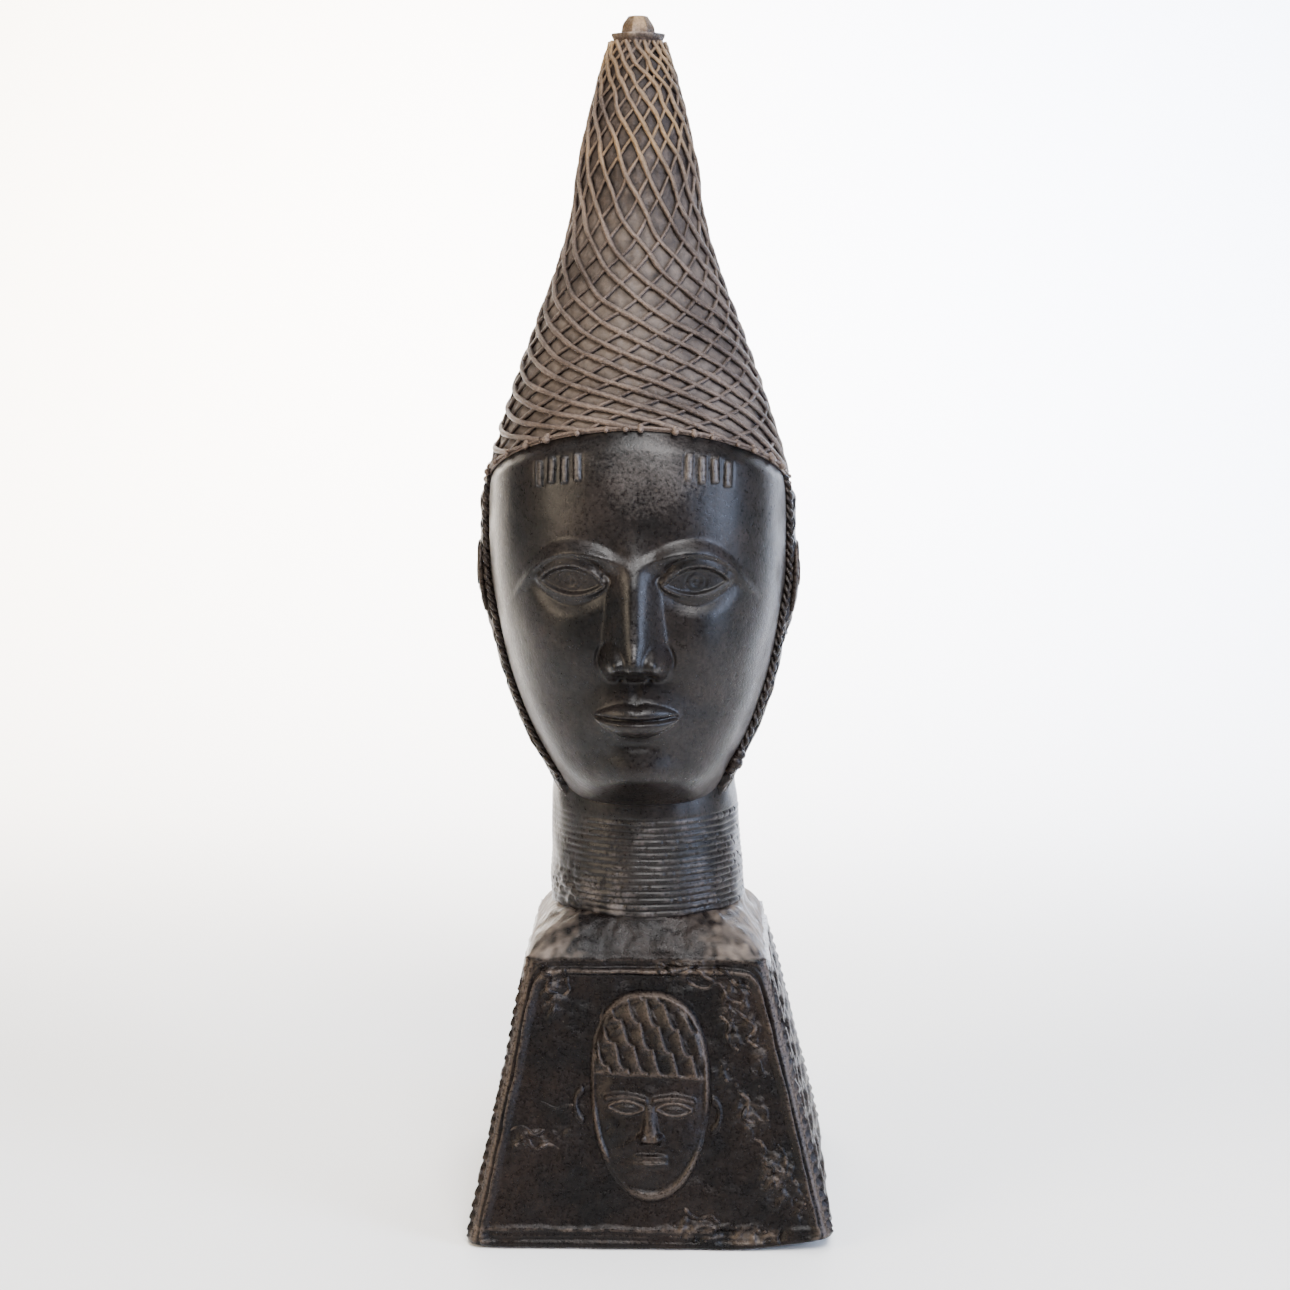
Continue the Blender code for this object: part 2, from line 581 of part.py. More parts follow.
def main():
    clear_scene()
    sculpture = bpy.data.collections.new("bronze_head_sculpture")
    helpers = bpy.data.collections.new("shapes_joined_into_the_casting")
    for collection in (sculpture, helpers):
        bpy.context.scene.collection.children.link(collection)
    casting = applied(make_base(sculpture))
    casting.data.materials.append(bronze())
    upright = [make_shoulder(helpers), make_neck(helpers), make_head(helpers), *make_marks(helpers),
               *make_eyes_and_lips(helpers), make_cap(helpers), make_rim(helpers), make_finial(helpers)]
    meshes = []
    for part in upright:
        if part.type == "CURVE":
            graph = bpy.context.evaluated_depsgraph_get()
            mesh = bpy.data.meshes.new_from_object(part.evaluated_get(graph))
            name = part.name
            bpy.data.objects.remove(part, do_unlink=True)
            part = object_of(name, mesh, helpers)
        meshes.append(applied(part))
    join(casting, meshes + make_relief(helpers), "UNION")
    join(casting, [make_lift(helpers)], "DIFFERENCE")
    casting.data.shade_smooth()
    casting.data.set_sharp_from_angle(angle=math.radians(40))


main()
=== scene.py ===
"""The looks of the bronze head sculpture: net cap, face, hair, ringed neck, base, relief and the stage.

The work is one hollow casting. It stands on z = 0 and looks along -Y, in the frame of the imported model.
Every length is in metres and every angle in radians, unless its name or comment says otherwise.
"""

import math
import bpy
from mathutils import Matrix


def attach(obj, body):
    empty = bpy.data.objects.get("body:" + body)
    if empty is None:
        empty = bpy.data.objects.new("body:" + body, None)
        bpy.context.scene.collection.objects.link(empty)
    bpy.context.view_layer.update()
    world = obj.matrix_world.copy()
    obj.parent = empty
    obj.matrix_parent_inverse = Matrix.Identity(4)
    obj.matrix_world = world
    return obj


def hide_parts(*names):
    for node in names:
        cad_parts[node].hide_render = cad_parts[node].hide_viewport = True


bl_info = {
    "name": "Bronze head sculpture",
    "version": (1, 0, 0),
    "blender": (4, 5, 0),
    "location": "3D View > Sidebar > Bronze head",
    "description": "Makes the detailed pieces, patina and stage of a cast bronze head with a net cap",
    "category": "Object",
}

import bpy
import numpy as np
from mathutils import noise

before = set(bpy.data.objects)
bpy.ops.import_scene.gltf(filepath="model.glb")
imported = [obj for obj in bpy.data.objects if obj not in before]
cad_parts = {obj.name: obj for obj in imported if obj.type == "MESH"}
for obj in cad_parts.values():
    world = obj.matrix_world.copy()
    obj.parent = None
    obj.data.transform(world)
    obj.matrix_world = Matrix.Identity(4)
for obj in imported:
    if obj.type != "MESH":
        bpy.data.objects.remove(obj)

# Sizes of the casting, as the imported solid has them
BASE_HEIGHT = 0.163
SHOULDER_RISE = 0.021
COLLAR_HEIGHT = 0.057
THROAT_HEIGHT = 0.021
FACE_HEIGHT = 0.208
NET_HEIGHT = 0.248
FINIAL_HEIGHT = 0.015
BASE_WIDTH = 0.214
BASE_TOP_WIDTH = 0.139
CORNER_LIFT = 0.006
LIFT_LENGTH = 0.060
NECK_WIDTH = 0.113
HEAD_WIDTH = 0.174
HEAD_DEPTH = 0.198
LEAN = -0.0095
EYE_SHARE = 0.2
CAP_WIDTH = 0.1772
RIM_TILT = 0.033
RIM_THICKNESS = 0.0052
RIM_BLEND = 0.014
STRANDS = 18
NET_DEPTH = 0.0020
LIP_WIDTH = 0.0312
KNOB_WIDTH = 0.0198
KNOB_TOP_WIDTH = 0.0132
RELIEF_WIDTH = 0.066
RELIEF_HEIGHT = 0.112
RELIEF_FOOT = 0.030

NECK_FOOT_Z = BASE_HEIGHT + SHOULDER_RISE
COLLAR_TOP_Z = NECK_FOOT_Z + COLLAR_HEIGHT
CHIN_Z = COLLAR_TOP_Z + THROAT_HEIGHT
RIM_FRONT_Z = CHIN_Z + FACE_HEIGHT
RIM_Z = RIM_FRONT_Z - RIM_TILT
NET_TOP_Z = RIM_Z + NET_HEIGHT

# Up the net's height: the cap's half width as shares of its rim, and the slopes of its strands and ties in
# degrees
CAP_PROFILE = [(-0.2, 1.06), (0.0, 1.0), (0.08, 0.935), (0.22, 0.806), (0.36, 0.661), (0.5, 0.512),
               (0.62, 0.42), (0.7, 0.394), (0.8, 0.335), (0.92, 0.248), (1.0, 0.178)]
LONG_STRANDS = [(0.0, 20), (0.2, 28), (0.4, 36), (0.6, 62), (0.7, 67), (0.82, 60), (1.0, 54)]
CROSS_TIES = [(0.0, 30), (0.25, 35), (0.45, 44), (0.65, 60), (0.82, 55), (1.0, 54)]

# The head's half width and its depths to the front and back, as shares, up the face's height from the chin
WIDTH_PROFILE = [(-0.08, 0.50), (0.0, 0.58), (0.12, 0.73), (0.28, 0.87), (0.45, 0.955), (0.62, 1.0),
                 (0.85, 0.99), (1.0, 0.95), (1.2, 0.82)]
FRONT_PROFILE = [(-0.08, 0.46), (-0.03, 0.66), (0.03, 0.82), (0.12, 0.87), (0.3, 0.91), (0.5, 0.945),
                 (0.68, 0.965), (0.85, 0.93), (1.0, 0.85), (1.2, 0.70)]
BACK_PROFILE = [(-0.08, 0.58), (0.05, 0.66), (0.25, 0.82), (0.45, 0.95), (0.65, 1.0), (0.85, 0.97),
                (1.0, 0.90), (1.2, 0.76)]
# Where the hair's front edge runs, in degrees round from the front
HAIR_EDGE = [(-0.08, 52), (0.0, 55), (0.15, 68), (0.4, 79), (0.7, 84), (1.2, 84)]

# The face is divided in thirds from chin to rim, and an eye is a fifth of the head's width
THIRD = FACE_HEIGHT / 3
EYE = EYE_SHARE * HEAD_WIDTH
NOSE_Z = CHIN_Z + THIRD
BROW_Z = CHIN_Z + 2 * THIRD
EYE_Z = BROW_Z - 0.24 * THIRD
MOUTH_Z = NOSE_Z - THIRD / 3
EAR_Z = CHIN_Z + FACE_HEIGHT * 0.52

# How far the front panel leans back
PANEL_SLOPE = math.atan2((BASE_WIDTH - BASE_TOP_WIDTH) / 2, BASE_HEIGHT)


def linear(hex_colour):
    """A colour given as sRGB hex, as the linear numbers that Blender works with."""
    channels = [int(hex_colour[i:i + 2], 16) / 255 for i in (1, 3, 5)]
    return tuple(c / 12.92 if c <= 0.04045 else ((c + 0.055) / 1.055) ** 2.4 for c in channels)


def colour_setting(name, description, hex_colour):
    return bpy.props.FloatVectorProperty(name=name, description=description, subtype="COLOR",
                                         size=3, min=0.0, max=1.0, default=linear(hex_colour))


def length_setting(name, description, default):
    return bpy.props.FloatProperty(name=name, description=description, default=default, min=0.0,
                                   unit="LENGTH", precision=5)


class NetSettings(bpy.types.PropertyGroup):
    strand_radius: length_setting("Strand radius", "Half the thickness of the long winding strands", 0.00165)
    tie_radius: length_setting("Tie radius", "Half the thickness of the short ties between them", 0.00135)
    lip_radius: length_setting("Lip radius", "Half the thickness of the lip along the rim", 0.0011)
    knot_radius: length_setting("Knot radius", "Size of the knots on the lip", 0.0026)
    wander: length_setting("Wander", "How far a strand strays from its even course", 0.0016)


class HeadSettings(bpy.types.PropertyGroup):
    mark_height: length_setting("Mark height", "How far the forehead's bars stand out", 0.0019)
    lid_height: length_setting("Lid height", "How far the eyelids stand out", 0.0013)
    braid_radius: length_setting("Braid radius", "Half the thickness of the hair's edge cord", 0.0019)
    hair_cell: length_setting("Hair cell", "Distance between the crossing cords of the hair cover", 0.0085)


class NeckSettings(bpy.types.PropertyGroup):
    ring_pitch: length_setting("Ring pitch", "Distance from one neck ring to the next", 0.0038)
    groove_depth: length_setting("Groove depth", "Depth of the lines between the rings", 0.0012)


class BaseSettings(bpy.types.PropertyGroup):
    border_height: length_setting("Border height", "How far the ridges stand above the sunk panels", 0.0022)
    casting_roughness: length_setting("Casting roughness", "Height of the casting's lumps and runs", 0.0032)
    plait_width: length_setting("Plait width", "Width of one plaited band on the sides", 0.020)


class FinishSettings(bpy.types.PropertyGroup):
    skin: colour_setting("Skin", "Polished black patina of the face", "#0b0a0a")
    skin_brown: colour_setting("Skin brown", "Brown patches in the black patina", "#1f1a18")
    # Worn patina on the face and neck, and also the painted highlights on the upper forehead and on the
    # face's high forms
    skin_wear_and_highlight: colour_setting("Worn skin", "Face where hands have rubbed the patina thin", "#756d69")
    net: colour_setting("Net", "Grey-brown patina of the net", "#5f524a")
    net_deep: colour_setting("Net recesses", "Dark patina in the net's cells", "#3a302b")
    panel: colour_setting("Panel", "Dark patina of the base", "#0b0909")
    panel_brown: colour_setting("Panel brown", "Brown patches of the base", "#1a1310")
    # Worn edges of the base, and also the painted highlights on the crests of the rough casting's folds
    panel_wear_and_highlight: colour_setting("Worn edges", "Edges of the base where the patina is thin", "#5c5047")
    worn: colour_setting("Worn metal", "Bronze where hands have rubbed the patina thin", "#7c6a5d")
    golden: colour_setting("Golden metal", "Nearly bare bronze at the top of the cap", "#92744c")
    dust: colour_setting("Dust", "Grey-brown dust in the recesses", "#6a5f56")
    # Dust on the face and neck, and also a matt painted shade along the face's sides by the hair's edge
    dust_and_shade: colour_setting("Grime", "Dark grime where no hand rubs the face", "#2e2926")
    # Painted shade: a dark colour laid on the net beside its strands, on the strands' low sides and under
    # the cap's lip, where shadow falls
    painted_shade: colour_setting("Recess", "Dark patina close beside the net's strands", "#1f1916")


class StageSettings(bpy.types.PropertyGroup):
    floor: colour_setting("Floor", "Paint of the floor and backdrop", "#f3f2f0")
    warm_light: colour_setting("Warm light", "Colour of the light from the left", "#ffedd2")
    cool_light: colour_setting("Cool light", "Colour of the light from the right", "#cbddff")


class BronzeHeadSettings(bpy.types.PropertyGroup):
    net: bpy.props.PointerProperty(type=NetSettings)
    head: bpy.props.PointerProperty(type=HeadSettings)
    neck: bpy.props.PointerProperty(type=NeckSettings)
    base: bpy.props.PointerProperty(type=BaseSettings)
    finish: bpy.props.PointerProperty(type=FinishSettings)
    stage: bpy.props.PointerProperty(type=StageSettings)


# Curves and shapes that the pieces share

def through(points, at):
    """A smooth curve through (place, value) points, read at an array of places."""
    places, values = np.array(points, dtype=float).T
    slopes = np.gradient(values, places)
    at = np.clip(np.asarray(at, dtype=float), places[0], places[-1])
    left = np.clip(np.searchsorted(places, at) - 1, 0, len(places) - 2)
    span = places[left + 1] - places[left]
    t = (at - places[left]) / span
    start = (1 + 2 * t) * (1 - t) ** 2 * values[left] + t * (1 - t) ** 2 * span * slopes[left]
    end = t * t * (3 - 2 * t) * values[left + 1] + t * t * (t - 1) * span * slopes[left + 1]
    return start + end


def ease(t):
    """0 below 0, 1 above 1, and a smooth rise between."""
    t = np.clip(t, 0.0, 1.0)
    return t * t * (3 - 2 * t)


def bump(x, z, centre_x, centre_z, half_width, half_height):
    """1 at the centre of an ellipse, 0 on its edge and beyond."""
    reach = ((x - centre_x) / half_width) ** 2 + ((z - centre_z) / half_height) ** 2
    return np.maximum(0.0, 1.0 - reach) ** 2


def ridge(distance, half_width):
    """A soft ridge: 1 on its crest, falling off within its half width."""
    return np.exp(-(distance / half_width) ** 2)


def lumps(points, size, seed):
    """Smooth unevenness from about -1 to 1, whose lumps are about that size."""
    shifted = np.reshape(points, (-1, 3)) / size + 17.3 * seed
    values = np.fromiter((noise.noise(point) for point in shifted.tolist()), float, len(shifted))
    return values.reshape(np.shape(points)[:-1])


def leaning(points):
    """The work leans a little to its right: its axis drifts sideways up to the cap's rim."""
    points = np.array(points, dtype=float)
    points[..., 0] += LEAN * ease(points[..., 2] / RIM_Z)
    return points


def upright(x, z):
    """Points of a plane that faces the front."""
    return np.stack([x, 0 * x, z], axis=-1)


def round_points(radius, angle, z):
    """Points at a radius from the upright axis and at an angle from the front."""
    return np.stack(np.broadcast_arrays(radius * np.sin(angle), -radius * np.cos(angle), z), axis=-1)


def base_half(z):
    return BASE_WIDTH / 2 + z / BASE_HEIGHT * (BASE_TOP_WIDTH - BASE_WIDTH) / 2


def cap_half(z):
    return through(CAP_PROFILE, (z - RIM_Z) / NET_HEIGHT) * CAP_WIDTH / 2


def cap_depth(z):
    """How much deeper than wide the cap is: an oval at the rim, round further up."""
    return 1 + 0.10 * np.maximum(0.0, 1 - (z - RIM_Z) / (NET_HEIGHT * 0.5))


def cap_point(angle, rise, outward):
    """Points of the cap at an angle from the front and a rise above the rim's level."""
    fade = np.maximum(0.0, 1 - rise / (NET_HEIGHT * 0.42)) ** 1.5
    z = RIM_Z + rise + RIM_TILT * np.cos(angle) * fade
    half = cap_half(z) + outward
    return np.stack([half * np.sin(angle), -half * cap_depth(z) * np.cos(angle), z], axis=-1)


# Meshes

def new_piece(name, mesh):
    piece = bpy.data.objects.new(name, mesh)
    bpy.context.scene.collection.objects.link(piece)
    return piece


def grid_faces(count, across, wrap):
    index = np.arange(count * across).reshape(count, across)
    left = index if wrap else index[:, :-1]
    right = np.roll(index, -1, axis=1) if wrap else index[:, 1:]
    return np.stack([left[:-1], right[:-1], right[1:], left[1:]], axis=-1).reshape(-1, 4).tolist()


def ring_piece(name, rows):
    """A closed mesh over rings of points that run from low to high. The first and last ring are filled."""
    count, across = rows.shape[:2]
    faces = grid_faces(count, across, True)
    faces.append(list(range(across))[::-1])
    faces.append(list(range((count - 1) * across, count * across)))
    mesh = bpy.data.meshes.new(name)
    mesh.from_pydata(rows.reshape(-1, 3).tolist(), [], faces)
    mesh.shade_smooth()
    return new_piece(name, mesh)


def plate_piece(name, rows, back):
    """A closed mesh over a grid of points, with a back that lies further along +Y by the given amount."""
    count, across = rows.shape[:2]
    faces = grid_faces(count, across, False)
    index = np.arange(count * across).reshape(count, across)
    border = [*index[0], *index[1:, -1], *index[-1, -2::-1], *index[-2:0:-1, 0]]
    front = rows.reshape(-1, 3)
    behind = front[border] + (0.0, back, 0.0)
    first = len(front)
    for i in range(len(border)):
        j = (i + 1) % len(border)
        faces.append([int(border[j]), int(border[i]), first + i, first + j])
    faces.append([first + i for i in range(len(border))][::-1])
    mesh = bpy.data.meshes.new(name)
    mesh.from_pydata(np.concatenate([front, behind]).tolist(), [], faces)
    mesh.shade_smooth()
    return new_piece(name, mesh)


def mark_points(piece, name, values):
    """Stores one number a point, or one for all, which the materials read. Points left over get 0."""
    stored = np.zeros(len(piece.data.vertices), dtype=np.float32)
    if np.isscalar(values):
        stored[:] = values
    else:
        stored[:np.size(values)] = np.ravel(values)
    piece.data.attributes.new(name, "FLOAT", "POINT").data.foreach_set("value", stored)


def points_of(piece):
    flat = np.empty(3 * len(piece.data.vertices))
    piece.data.vertices.foreach_get("co", flat)
    return flat.reshape(-1, 3)


def hand_in(piece, material, **marks):
    """Gives a piece the marks that its finish reads, its finish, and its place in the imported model."""
    for name, values in marks.items():
        mark_points(piece, name, values)
    piece.data.materials.clear()
    piece.data.materials.append(material)
    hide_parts("bronze_head")
    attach(piece, "root")


# Node trees

def add_node(tree, kind, inputs=None, **settings):
    """Adds a node with its settings, and sets each input to a value or links it to another node's output."""
    node = tree.nodes.new(kind)
    for name, value in settings.items():
        setattr(node, name, value)
    for name, value in (inputs or {}).items():
        if isinstance(value, bpy.types.NodeSocket):
            tree.links.new(value, node.inputs[name])
        else:
            node.inputs[name].default_value = value
    return node


def new_geometry_tree(name, inputs):
    """A Geometry Nodes tree with its named inputs: the tree, and the node that gives the inputs."""
    tree = bpy.data.node_groups.new(name, "GeometryNodeTree")
    tree.interface.new_socket(name="Geometry", in_out="OUTPUT", socket_type="NodeSocketGeometry")
    for label, kind, default in inputs:
        socket = tree.interface.new_socket(name=label, in_out="INPUT", socket_type=kind)
        if default is not None:
            socket.default_value = default
    return tree, add_node(tree, "NodeGroupInput")


def roughened(tree, geometry, given):
    """The tree's last steps: uneven as hand-worked wax, smooth shaded, made real, and given its finish."""
    place = add_node(tree, "GeometryNodeInputPosition")
    rate = add_node(tree, "ShaderNodeMath", {0: 1.0, 1: given.outputs["Lump size"]}, operation="DIVIDE")
    cloud = add_node(tree, "ShaderNodeTexNoise", {
        "Vector": place.outputs[0], "W": given.outputs["Seed"], "Scale": rate.outputs[0], "Detail": 2.0},
        noise_dimensions="4D")
    centred = add_node(tree, "ShaderNodeVectorMath", {0: cloud.outputs["Color"], 1: (0.5, 0.5, 0.5)},
                       operation="SUBTRACT")
    offset = add_node(tree, "ShaderNodeVectorMath",
                      {0: centred.outputs[0], "Scale": given.outputs["Unevenness"]}, operation="SCALE")
    moved = add_node(tree, "GeometryNodeSetPosition", {"Geometry": geometry, "Offset": offset.outputs[0]})
    smooth = add_node(tree, "GeometryNodeSetShadeSmooth", {"Geometry": moved.outputs[0]})
    real = add_node(tree, "GeometryNodeRealizeInstances", {"Geometry": smooth.outputs[0]})
    done = add_node(tree, "GeometryNodeSetMaterial", {"Geometry": real.outputs[0],
                                                      "Material": given.outputs["Finish"]})
    add_node(tree, "NodeGroupOutput", {0: done.outputs[0]})


def cast_ribs_tree():
    """Sweeps a round rib along every line of a mesh, as thick as the line's points say."""
    tree, given = new_geometry_tree("cast_ribs", [
        ("Lines", "NodeSocketGeometry", None), ("Sides", "NodeSocketInt", 8),
        ("Unevenness", "NodeSocketFloat", 0.0004), ("Lump size", "NodeSocketFloat", 0.004),
        ("Seed", "NodeSocketFloat", 0.0), ("Finish", "NodeSocketMaterial", None)])
    curve = add_node(tree, "GeometryNodeMeshToCurve", {"Mesh": given.outputs["Lines"]})
    radius = add_node(tree, "GeometryNodeInputNamedAttribute", {"Name": "rib_radius"}, data_type="FLOAT")
    circle = add_node(tree, "GeometryNodeCurvePrimitiveCircle", {"Resolution": given.outputs["Sides"],
                                                                "Radius": 1.0})
    tube = add_node(tree, "GeometryNodeCurveToMesh", {
        "Curve": curve.outputs[0], "Profile Curve": circle.outputs[0], "Scale": radius.outputs[0],
        "Fill Caps": True})
    roughened(tree, tube.outputs[0], given)
    return tree


def cast_knots_tree():
    """Puts a rounded knot on every point of a mesh, as large as the point says, each turned its own way."""
    tree, given = new_geometry_tree("cast_knots", [
        ("Points", "NodeSocketGeometry", None), ("Detail", "NodeSocketInt", 3),
        ("Unevenness", "NodeSocketFloat", 0.0006),
        ("Lump size", "NodeSocketFloat", 0.003), ("Seed", "NodeSocketFloat", 0.0),
        ("Finish", "NodeSocketMaterial", None)])
    ball = add_node(tree, "GeometryNodeMeshIcoSphere",
                    {"Radius": 1.0, "Subdivisions": given.outputs["Detail"]})
    size = add_node(tree, "GeometryNodeInputNamedAttribute", {"Name": "rib_radius"}, data_type="FLOAT")
    turn = add_node(tree, "FunctionNodeRandomValue", {0: (0.0, 0.0, 0.0), 1: (6.28, 6.28, 6.28), "Seed": 5},
                    data_type="FLOAT_VECTOR")
    placed = add_node(tree, "GeometryNodeInstanceOnPoints", {
        "Points": given.outputs["Points"], "Instance": ball.outputs[0], "Rotation": turn.outputs[0],
        "Scale": size.outputs[0]})
    real = add_node(tree, "GeometryNodeRealizeInstances", {"Geometry": placed.outputs[0]})
    roughened(tree, real.outputs[0], given)
    return tree


def grown(name, tree, lines, radii, closed, values):
    """The plain mesh that a tree makes of lines of points, each point with the radius to be had there."""
    points = np.concatenate(lines)
    edges = []
    first = 0
    for line in lines:
        count = len(line)
        if values.get("Sides"):
            edges += [(first + i, first + i + 1) for i in range(count - 1)]
            if closed:
                edges.append((first + count - 1, first))
        first += count
    mesh = bpy.data.meshes.new(name)
    mesh.from_pydata(points.tolist(), edges, [])
    source = new_piece(name + "_lines", mesh)
    mark_points(source, "rib_radius", np.concatenate(radii))
    modifier = source.modifiers.new(tree.name, "NODES")
    modifier.node_group = tree
    for item in tree.interface.items_tree:
        if item.in_out == "INPUT" and item.name in values:
            modifier[item.identifier] = values[item.name]
    graph = bpy.context.evaluated_depsgraph_get()
    made = bpy.data.meshes.new_from_object(source.evaluated_get(graph))
    bpy.data.objects.remove(source, do_unlink=True)
    if not made.polygons:
        raise RuntimeError("The tree made no faces for " + name)
    made.name = name
    return new_piece(name, made)


def ribs(name, lines, radii, material, closed=False, sides=8, unevenness=0.0004, lump=0.004, seed=0.0):
    tree = bpy.data.node_groups.get("cast_ribs") or cast_ribs_tree()
    return grown(name, tree, lines, radii, closed, {
        "Sides": sides, "Unevenness": unevenness, "Lump size": lump, "Seed": seed, "Finish": material})


def knots(name, points, radii, material, detail=3, unevenness=0.0008, seed=0.0):
    tree = bpy.data.node_groups.get("cast_knots") or cast_knots_tree()
    return grown(name, tree, [np.array(points)], [np.array(radii)], False,
                 {"Detail": detail, "Unevenness": unevenness, "Seed": seed, "Finish": material})


# Finishes

def read_mark(tree, name):
    """The number that a piece's points store under a name."""
    return add_node(tree, "ShaderNodeAttribute", attribute_name=name).outputs["Fac"]


def times(tree, one, two):
    return add_node(tree, "ShaderNodeMath", {0: one, 1: two}, operation="MULTIPLY").outputs[0]


def stretched(tree, value, low, high, to_low=0.0, to_high=1.0):
    """Stretches the values from low to high over those from to_low to to_high."""
    return add_node(tree, "ShaderNodeMapRange", {"Value": value, "From Min": low, "From Max": high,
                                                 "To Min": to_low, "To Max": to_high}).outputs[0]


def mixed(tree, share, one, two, **settings):
    """A colour between two others, nearer the second as the share rises."""
    node = add_node(tree, "ShaderNodeMix", {0: share, 6: one, 7: two}, data_type="RGBA", **settings)
    return node.outputs[2]


def patinated(name, deep, light, worn, golden, dust, painted_shade, polish, cloud, grain, metallic, relief, shine):
    """Cast bronze under a patina. Points marked wear show metal, which on the face and on the base's rough
    spots is also a painted highlight, and points marked dust are pale and matt.

    Points marked golden are rubbed to bright metal, and points marked hollow are painted dark: painted
    shade.
    cloud and grain are the sizes of the patina's patches and of the cast grain, polish is the roughness of
    the smoothest spots, relief says how strongly the grain shows, and shine how strongly the patina
    reflects.
    """
    material = bpy.data.materials.new(name)
    material.use_nodes = True
    tree = material.node_tree
    shader = tree.nodes["Principled BSDF"]
    place = add_node(tree, "ShaderNodeTexCoord").outputs["Object"]
    clouds = add_node(tree, "ShaderNodeTexNoise", {"Vector": place, "Scale": 1 / cloud, "Detail": 6.0,
                                                   "Roughness": 0.62}).outputs["Fac"]
    patches = stretched(tree, clouds, 0.38, 0.66)
    fine = add_node(tree, "ShaderNodeTexNoise", {"Vector": place, "Scale": 1 / grain, "Detail": 5.0,
                                                 "Roughness": 0.7}).outputs["Fac"]
    ground = mixed(tree, patches, (*deep, 1.0), (*light, 1.0))
    # The grain's high spots are a shade lighter, as rubbed patina is
    flecked = mixed(tree, 0.35, ground, stretched(tree, fine, 0.42, 0.66), blend_type="OVERLAY")
    # The wear mark: worn metal, and on the face and on the base's rough spots also a painted highlight
    rubbed = stretched(tree, times(tree, read_mark(tree, "wear"), fine), 0.1, 0.62)
    bare = mixed(tree, read_mark(tree, "golden"), (*worn, 1.0), (*golden, 1.0))
    metal = mixed(tree, rubbed, flecked, bare)
    settled = stretched(tree, times(tree, read_mark(tree, "dust"), clouds), 0.12, 0.62)
    coloured = mixed(tree, settled, metal, (*dust, 1.0))
    # Painted shade: points marked hollow are painted dark
    shaded = mixed(tree, read_mark(tree, "hollow"), coloured, (*painted_shade, 1.0))
    tree.links.new(shaded, shader.inputs["Base Color"])
    shader.inputs["Specular IOR Level"].default_value = shine
    # Handled spots are smoother, and dust takes the shine away
    base_rough = stretched(tree, fine, 0.3, 0.7, polish, polish + 0.18)
    dust_roughness, dust_metallic = 0.78, 0.1
    rough = add_node(tree, "ShaderNodeMix", {0: settled, 2: base_rough, 3: dust_roughness},
                     data_type="FLOAT")
    tree.links.new(rough.outputs[0], shader.inputs["Roughness"])
    tree.links.new(stretched(tree, settled, 0.0, 1.0, metallic, dust_metallic), shader.inputs["Metallic"])
    # Casting pits about 3 mm apart, in patches, and a grain too fine to feel
    pit_gap, pit_depth, grain_depth = 0.0034, 0.0004, 0.0008
    cells = add_node(tree, "ShaderNodeTexVoronoi", {"Vector": place, "Scale": 1 / pit_gap})
    pits = stretched(tree, cells.outputs["Distance"], 0.06, 0.24)
    pitted = add_node(tree, "ShaderNodeMath", {0: pits, 1: patches}, operation="MAXIMUM")
    coarse = add_node(tree, "ShaderNodeBump", {"Height": pitted.outputs[0], "Distance": pit_depth,
                                               "Strength": 0.6 * relief})
    grained = add_node(tree, "ShaderNodeBump", {"Height": fine, "Distance": grain_depth, "Strength": relief,
                                                "Normal": coarse.outputs[0]})
    tree.links.new(grained.outputs[0], shader.inputs["Normal"])
    return material


def finish(settings, name):
    """The finish of that name, made the first time it is asked for."""
    made = bpy.data.materials.get(name)
    if made:
        return made
    c = settings.finish
    net = {"deep": c.net_deep, "light": c.net, "worn": c.worn, "dust": c.dust, "painted_shade": c.painted_shade}
    recipes = {
        # Lost-wax bronze under a black wax patina, polished by handling: dark, with broad soft reflections
        "polished_black_bronze": {
            "deep": c.skin, "light": c.skin_brown, "worn": c.skin_wear_and_highlight, "dust": c.dust_and_shade, "painted_shade": c.skin,
            "polish": 0.23, "cloud": 0.036, "grain": 0.0020, "metallic": 0.12, "relief": 0.26,
            "shine": 0.20},
        # The same metal left matt in the net: grey-brown, with dust in its cells and painted shade beside
        # its strands
        "matt_net_bronze": {
            **net, "polish": 0.42, "cloud": 0.030, "grain": 0.0017, "metallic": 0.5, "relief": 0.9,
            "shine": 0.35},
        # The base's patina: near black, brown in patches, a little uneven in its shine
        "dark_base_bronze": {
            "deep": c.panel, "light": c.panel_brown, "worn": c.panel_wear_and_highlight, "dust": c.dust, "painted_shade": c.panel,
            "polish": 0.21, "cloud": 0.028, "grain": 0.0019, "metallic": 0.40, "relief": 0.45,
            "shine": 0.22},
        # Bare bronze at the tip, where hands hold it: golden, and smoother than the rest
        "worn_golden_bronze": {
            **net, "polish": 0.32, "cloud": 0.009, "grain": 0.0014, "metallic": 0.7, "relief": 0.5,
            "shine": 0.40},
    }
    return patinated(name, golden=c.golden, **recipes[name])


# The net cap

def net_rows():
    """The rise and turn of each row of crossings, from the slopes of the strands and the ties."""
    gap = math.tau / STRANDS
    rises, turns = [0.0], [0.0]
    while rises[-1] < NET_HEIGHT * 1.02:
        share = rises[-1] / NET_HEIGHT
        half = cap_half(RIM_Z + rises[-1])
        long_rate = 1 / (half * math.tan(math.radians(through(LONG_STRANDS, share))))
        tie_rate = 1 / (half * math.tan(math.radians(through(CROSS_TIES, share))))
        step = gap / (long_rate + tie_rate)
        rises.append(float(rises[-1] + step))
        turns.append(float(turns[-1] + (tie_rate - long_rate) / 2 * step))
    return np.array(rises), np.array(turns)


